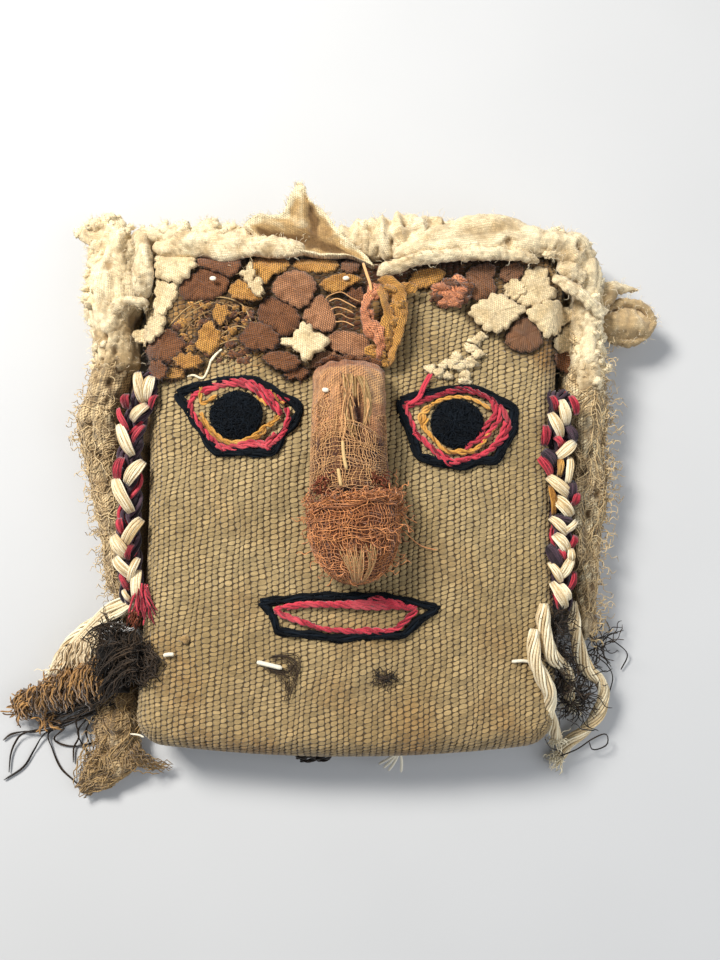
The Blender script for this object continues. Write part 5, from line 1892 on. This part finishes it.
def makeWool(random):
    # brown and beige wool, over a matted core
    wool = newPiece()
    for t in np.linspace(0, 1, 6):
        centre, size = (-69 - 23 * t, -48.6 - 8.6 * t, 11 - 6.4 * t), (4.6, 5.2 - 2.2 * t, 3.4 - 1.3 * t)
        addBlob(wool, centre, size, 920, 0.3, 0.1)
    for k in range(15):
        t = k / 14
        x, y, z = -68.5 - 25.5 * t, -43.5 - 11.5 * t + 1.4 * math.sin(k * 2.3), 15.4 - 9.4 * t
        down = 13.5 - 6 * t
        route = [(x, y, z), (x - 1.6, y - down * 0.45, z + 0.4), (x - 1.2 + math.sin(k), y - down, z - 3.2)]
        addLock(wool, random, route, 17, (1.4, 2.3, 1.8), 0.22, sway=0.45, swayLength=3.6, steps=13)
    for k in range(12):
        t = k / 11
        x, y, z = -11 * t, -4.6 * t, -5 * t
        route = [(x - 69.6, y - 37, z + 16.4), (x - 71, y - 41.6, z + 15.4),
                 (x - 72.6, -47 - 3.4 * t, 13 - 4.6 * t)]
        addLock(wool, random, route, 13, (1.4, 2, 1.6), 0.27, 1, sway=0.35, swayLength=4.4, steps=12)
    for centre in ((-95.6, -59.6, 5.4), (-91.4, -56.6, 6.6), (-84, -52.4, 9.4), (-79, -49.4, 11),
                   (-88, -62.6, 4)):
        addCurls(wool, random, centre, (1.8, 1.8, 1.6), 34, (2, 5), 0.26, (0.2, 1.1), 10, 0.8)
    makePiece(wool, "brown_wool_tuft", [materials["wool"], materials["beigeWool"]], "wool",
              ["wool_tuft_left"])


def makeHair(random):
    # the mass at the braid's end, a curly lobe on the face cloth and the sweep along the wool
    hair = newPiece()
    for centre, size in (((-63.4, -41.4, 15), (6, 4.8, 4.4)), ((-68.6, -50.6, 9.6), (5, 4.2, 3.8))):
        addBlob(hair, centre, size, 930, 0.3, 0.1)
    for mass in hairMass:
        addCurls(hair, random, *mass, 0.15, (0, 0.9), 11, 0.9, 0.4)
    for _ in range(84):
        radius = random.uniform(1.0, 3.4)
        turn = np.linspace(0, random.uniform(2, 4.6), 15) + random.uniform(0, fullTurn)
        centre = np.array([-55, -44.8]) + random.normal(size=2) * [1.4, 1.7]
        wavy = radius * (1 + 0.16 * np.sin(4 * turn + random.uniform(0, 6)))
        flat = centre + np.stack([np.cos(turn) * wavy, np.sin(turn) * wavy], axis=1)
        rise = 0.5 + random.uniform(0, 2.2) + 0.4 * np.sin(turn * 3)
        addTubes(hair, onFace(flat, rise), 0.15, 3, random.uniform(0.1, 1))
    for route, count, spreadOut, radius, swayLength, steps in hairLocks:
        addLock(hair, random, route, count, spreadOut, radius, tone=(0, 0.9), swayLength=swayLength,
                steps=steps, ragged=0.3)
    for line in hairSprays:
        pair = bundleLines(smoothLine(line, 30), [(0, 0), (0.25, 0.05)], 1.2)
        addTubes(hair, pair, 0.2, 4, random.uniform(0, 0.6, 2), taper=(1, 0.5))
    makePiece(hair, "dark_hair_tuft", [materials["hair"]], "hair", ["hair_tuft_left"])


def makeShreds(random):
    # worn remains of the corner gauze that reach under the pad's lower edge
    shreds = newPiece()
    for route, count, spreadOut, radius, steps in cornerShreds:
        addLock(shreds, random, route, count, spreadOut, radius, sway=0.6, swayLength=3, steps=steps,
                ragged=0.35)
    makePiece(shreds, "corner_gauze_shreds", [materials["wornYarn"]], "gauze")

    # the fan of cream yarn that the left tail spreads into
    fan = newPiece()
    for k in range(24):
        side, wave = random.uniform(-1, 1), random.uniform(-0.5, 0.5, 2)
        route = [(-58.6 - 0.5 * abs(side), -27.4 + side * 1.1, 19),
                 (-63.5, -29.6 + side * 2.4 + wave[0], 17.6),
                 (-69, -32.2 + side * 2.4 + wave[1], 14.4), (-75.4, -36.8 + side * 1.7, 10.4),
                 (-81, -42 + side * 1.4, 7.4), (-84.6 + side, -47 + side * 1.2 - 2 * wave[0], 5)]
        line = smoothLine(route, 30) + [0, 0, 0.7 * wave[1]]
        addTubes(fan, line, 0.34, 4, random.uniform(0, 1), taper=(0.9, 0.4))
    makePiece(fan, "cream_fan_left", [materials["creamYarn"]], "cream_yarn")


def makeFluff(random):
    # dark fluff and fine hairs at the lower right
    fluff = newPiece()
    for mass in fluffMass:
        addCurls(fluff, random, *mass, 0.15, (0, 0.8), 12, 0.8, 0.3)
    for line in fluffHairs:
        addTubes(fluff, smoothLine(line, 30), 0.2, 4, 0.2, taper=(1, 0.5))
    makePiece(fluff, "dark_hair_fluff", [materials["hair"]], "hair", ["hair_fluff_right"])


tuftRandom = np.random.default_rng(91)
makeWool(tuftRandom)
makeHair(tuftRandom)
makeShreds(tuftRandom)
makeFluff(tuftRandom)
print("tufts made")


# Loose stitches, knots and threads

# white stitches on the cloth: line, thickness and height
whiteStitches = [([(-24.4, -44.2), (-21, -45), (-17.6, -45.8)], 0.62, 1.0),
                 ([(-50, -42.6), (-48.6, -42.3), (-47.2, -42.3)], 0.55, 0.9),
                 ([(44.6, -44.2), (47.4, -44), (50, -44.4)], 0.45, 0.7)]
whiteStrands = [((14.4, -69.6, 12.6), (8.8, -74.4, 7)), ((14.5, -69.6, 12.6), (11.6, -76.4, 6)),
                ((14.6, -69.6, 12.6), (15.2, -76.8, 6)), ((14.4, -69.6, 12.6), (10.2, -75.6, 6))]
chinKnot = [[(-20.5, -42.8), (-17.1, -42.3), (-14.1, -43), (-13.4, -45.4), (-13.8, -48), (-15.2, -51.2),
             (-16.4, -54.5)],
            [(-21.1, -46.1), (-18.6, -47.3), (-15.9, -47), (-14.2, -44.6)],
            [(-20, -43.4), (-17, -43.4), (-15, -45.2), (-14.8, -49)],
            [(-21.6, -45), (-19, -46.6), (-16.6, -48.6), (-16, -51.8)]]
bottomHairs = [[(-14.6, -71.8, 11), (-12, -71.2, 13), (-9.2, -70.2, 14.6), (-6, -69.2, 16),
                (-4.4, -68.8, 17)],
               [(-13.6, -73, 9), (-10.4, -72.6, 11), (-7.4, -71.4, 12.4), (-4.6, -70.4, 13.4)],
               [(-12.8, -72.2, 10), (-10, -71, 13), (-8, -72.8, 10), (-5.4, -71.8, 12), (-4.4, -69.6, 15)]]
creamThreads = [([(-45.4, 34.8), (-43.6, 35.2), (-41, 34.2), (-39.6, 36.4), (-38.6, 39.6), (-37, 41.6)],
                 0.34, 0.7),
                ([(-38.6, 39.2), (-36.8, 41.6), (-35.6, 42.6)], 0.3, 0.8)]
bandThreads = [[(-6.4, 56.4), (-5.5, 57.6), (-2, 58.8), (1, 57), (3.6, 55.8)],
               [(-5, 53.4), (-3.1, 54.2), (-0.6, 53.6), (1.6, 52.4)],
               [(-4, 51.8), (-2, 52.2), (0, 51), (2, 50.6)], [(-3.6, 49.8), (-1, 49.9), (1.8, 48.6)],
               [(-5.4, 56), (-3, 56.8), (0, 55.4), (2.4, 54)]]


def makeStitches():
    white = newPiece()
    for line, radius, lift in whiteStitches:
        addTubes(white, onFace(smoothLine(line, 12), lift), radius, 8, 0.8, taper=(0.6, 0.6))
    for a, b in whiteStrands:
        middle = (np.array(a) + b) / 2 + [0.3, 0, 0.8]
        addTubes(white, smoothLine([a, middle, b], 12), 0.42, 6, 0.9, taper=(0.8, 0.5))
    addTubes(white, smoothLine([(-8.2, -69.6, 15.4), (-6.2, -69.9, 15.6), (-4.4, -69.9, 15.4)], 8),
             0.7, 7, 0.8)
    addTubes(white, smoothLine([(-61.9, -65.6, 9.6), (-59.4, -65.7, 10.4), (-57, -65.7, 14)], 8),
             0.3, 5, 0.8)
    onTheNose = onNose(nosePlace, [(-5.4, 27.4), (-5, 27)], 2, 0.5)[0]
    for k, spot in enumerate((onFace([-38.4, 62.9], 3.2), onFace([-0.6, 62.8], 3.2), onTheNose)):
        addBlob(white, spot, (0.95, 0.65, 0.5), 910 + k, 0.1, 0.9)
    makePiece(white, "white_stitches", [materials["white"]], "cream_yarn")


def makeKnots(random):
    dark = newPiece()
    for line in chinKnot:
        flat = smoothLine(line, 22)
        for _ in range(8):
            stray = 0.5 * random.normal(size=2)
            stray = stray + 0.3 * np.sin(np.linspace(0, 9, 22) + random.uniform(0, 6))[:, None]
            strand = onFace(flat + stray, random.uniform(0.3, 1.0))
            addTubes(dark, strand, 0.09, 3, random.uniform(0.3, 1.3))
    makePiece(dark, "chin_knot_left_hair", [materials["hair"]], "hair", ["chin_knot_left"])
    knot = newPiece()
    starts = onFace(np.array([9.9, -48.4]) + random.normal(size=(54, 2)) * [1.0, 0.6], 0.7)
    headings = random.normal(size=(54, 3)) * [1, 0.6, 0.15]
    addStray(knot, random, starts, headings, (1, 3.6), 0.12, (0, 1.2), 4,
             settle=lambda lines: keepAbove(lines, 0.4), steps=8, curl=0.4, curlLength=2.5)
    makePiece(knot, "chin_knot_right_hair", [materials["hair"]], "hair", ["chin_knot_right"])
    ends = newPiece()
    for line in bottomHairs:
        bundle = bundleLines(smoothLine(line, 24), [(0, 0), (0.35, 0.1), (-0.3, 0.15), (0.1, -0.3)], 1.5)
        addTubes(ends, bundle, 0.26, 5, random.uniform(0, 0.4, 4))
    makePiece(ends, "bottom_hair_ends", [materials["hair"]], "hair")


def makeThreads(random):
    # the red tuft at the end of the left braid, and the pink yarn that runs up from the right eye
    red = newPiece()
    for _ in range(34):
        x = random.uniform(-58.4, -55.2)
        start = np.array([[x, random.uniform(-27, -23), 22.4 + random.uniform(-0.8, 0.8)]])
        heading = np.array([[0.6 * (x + 57), -4, -0.2]]) + 0.3 * random.normal(size=3)
        addStray(red, random, start, heading, (4, 8), 0.24, sides=4, taper=(1, 0.5),
                 settle=lambda lines: keepAbove(lines, 0.5), steps=10, curl=0.25, curlLength=5)
    addLock(red, random, [(-57.6, -31, 22.6), (-58, -34, 22.4), (-58.4, -36, 22)], 16, (2.4, 2.8, 2.4),
            0.14, 1, sides=4, sway=0.3, steps=12)
    for offset in (-0.35, 0.35):
        line = smoothLine([(16.8, 26.1), (19.8, 28.2), (21.2, 31.4), (23.2, 35)], 18) + [offset, 0]
        addTubes(red, onFace(line, 1.6), 0.42, 6, 1.0)
    makePiece(red, "red_tuft", [materials["red"], materials["tipShade"]], "red_yarn")

    # cream thread on the cloth over the left eye, thin strips in the headband
    cream = newPiece()
    for line, radius, lift in creamThreads:
        addTubes(cream, onFace(smoothLine(line, 26), lift), radius, 6, 0.8)
    strip = smoothLine([(4.3, 67.2, 26), (5.3, 63, 28.6), (6.3, 59.4, 29.6), (6.6, 55.4, 30)], 20)
    addTubes(cream, strip, 0.45, 6, 1.1, 1)
    for line in bandThreads:
        addTubes(cream, onFace(smoothLine(line, 18), 2.6), 0.17, 5, random.uniform(0.4, 1), 1)
    makePiece(cream, "cream_threads", [materials["creamYarn"], materials["noseYarn"]], "cream_yarn")


threadRandom = np.random.default_rng(95)
makeStitches()
makeKnots(threadRandom)
makeThreads(threadRandom)
print("threads made")


# Floor and light


def makeFloor():
    bpy.ops.mesh.primitive_plane_add(size=4, location=(0, 0, 0))
    floor = bpy.context.object
    floor.name = "floor"
    floor.data.materials.append(plainMaterial("pale_floor", (196, 197, 198)))
    floor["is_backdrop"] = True


lights = {
    "key": {"at": (-330, 330, 520), "size": 190, "power": 7.0, "colour": (1.0, 0.97, 0.92)},
    "fill": {"at": (420, -120, 420), "size": 500, "power": 1.6, "colour": (0.93, 0.96, 1.0)},
}
skyColour = (0.86, 0.9, 0.96, 1)
skyStrength = 0.3


def makeLight(name, look):
    data = bpy.data.lights.new(name, "AREA")
    data.energy = look["power"]
    data.size = look["size"] * mm
    data.color = look["colour"]
    lamp = bpy.data.objects.new(name, data)
    lamp.location = Vector(look["at"]) * mm
    lamp.rotation_euler = (Vector((0, 0, 20)) - Vector(look["at"])).to_track_quat("-Z", "Y").to_euler()
    bpy.context.scene.collection.objects.link(lamp)


makeFloor()
for name, look in lights.items():
    makeLight(name, look)
world = bpy.data.worlds.new("studio")
world.use_nodes = True
world.node_tree.nodes["Background"].inputs["Color"].default_value = skyColour
world.node_tree.nodes["Background"].inputs["Strength"].default_value = skyStrength
bpy.context.scene.world = world
bpy.context.scene.view_settings.view_transform = "Standard"

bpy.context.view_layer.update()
triangles = sum(len(o.data.loops) - 2 * len(o.data.polygons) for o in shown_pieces() if o.type == "MESH")
print("triangles in all:", triangles)
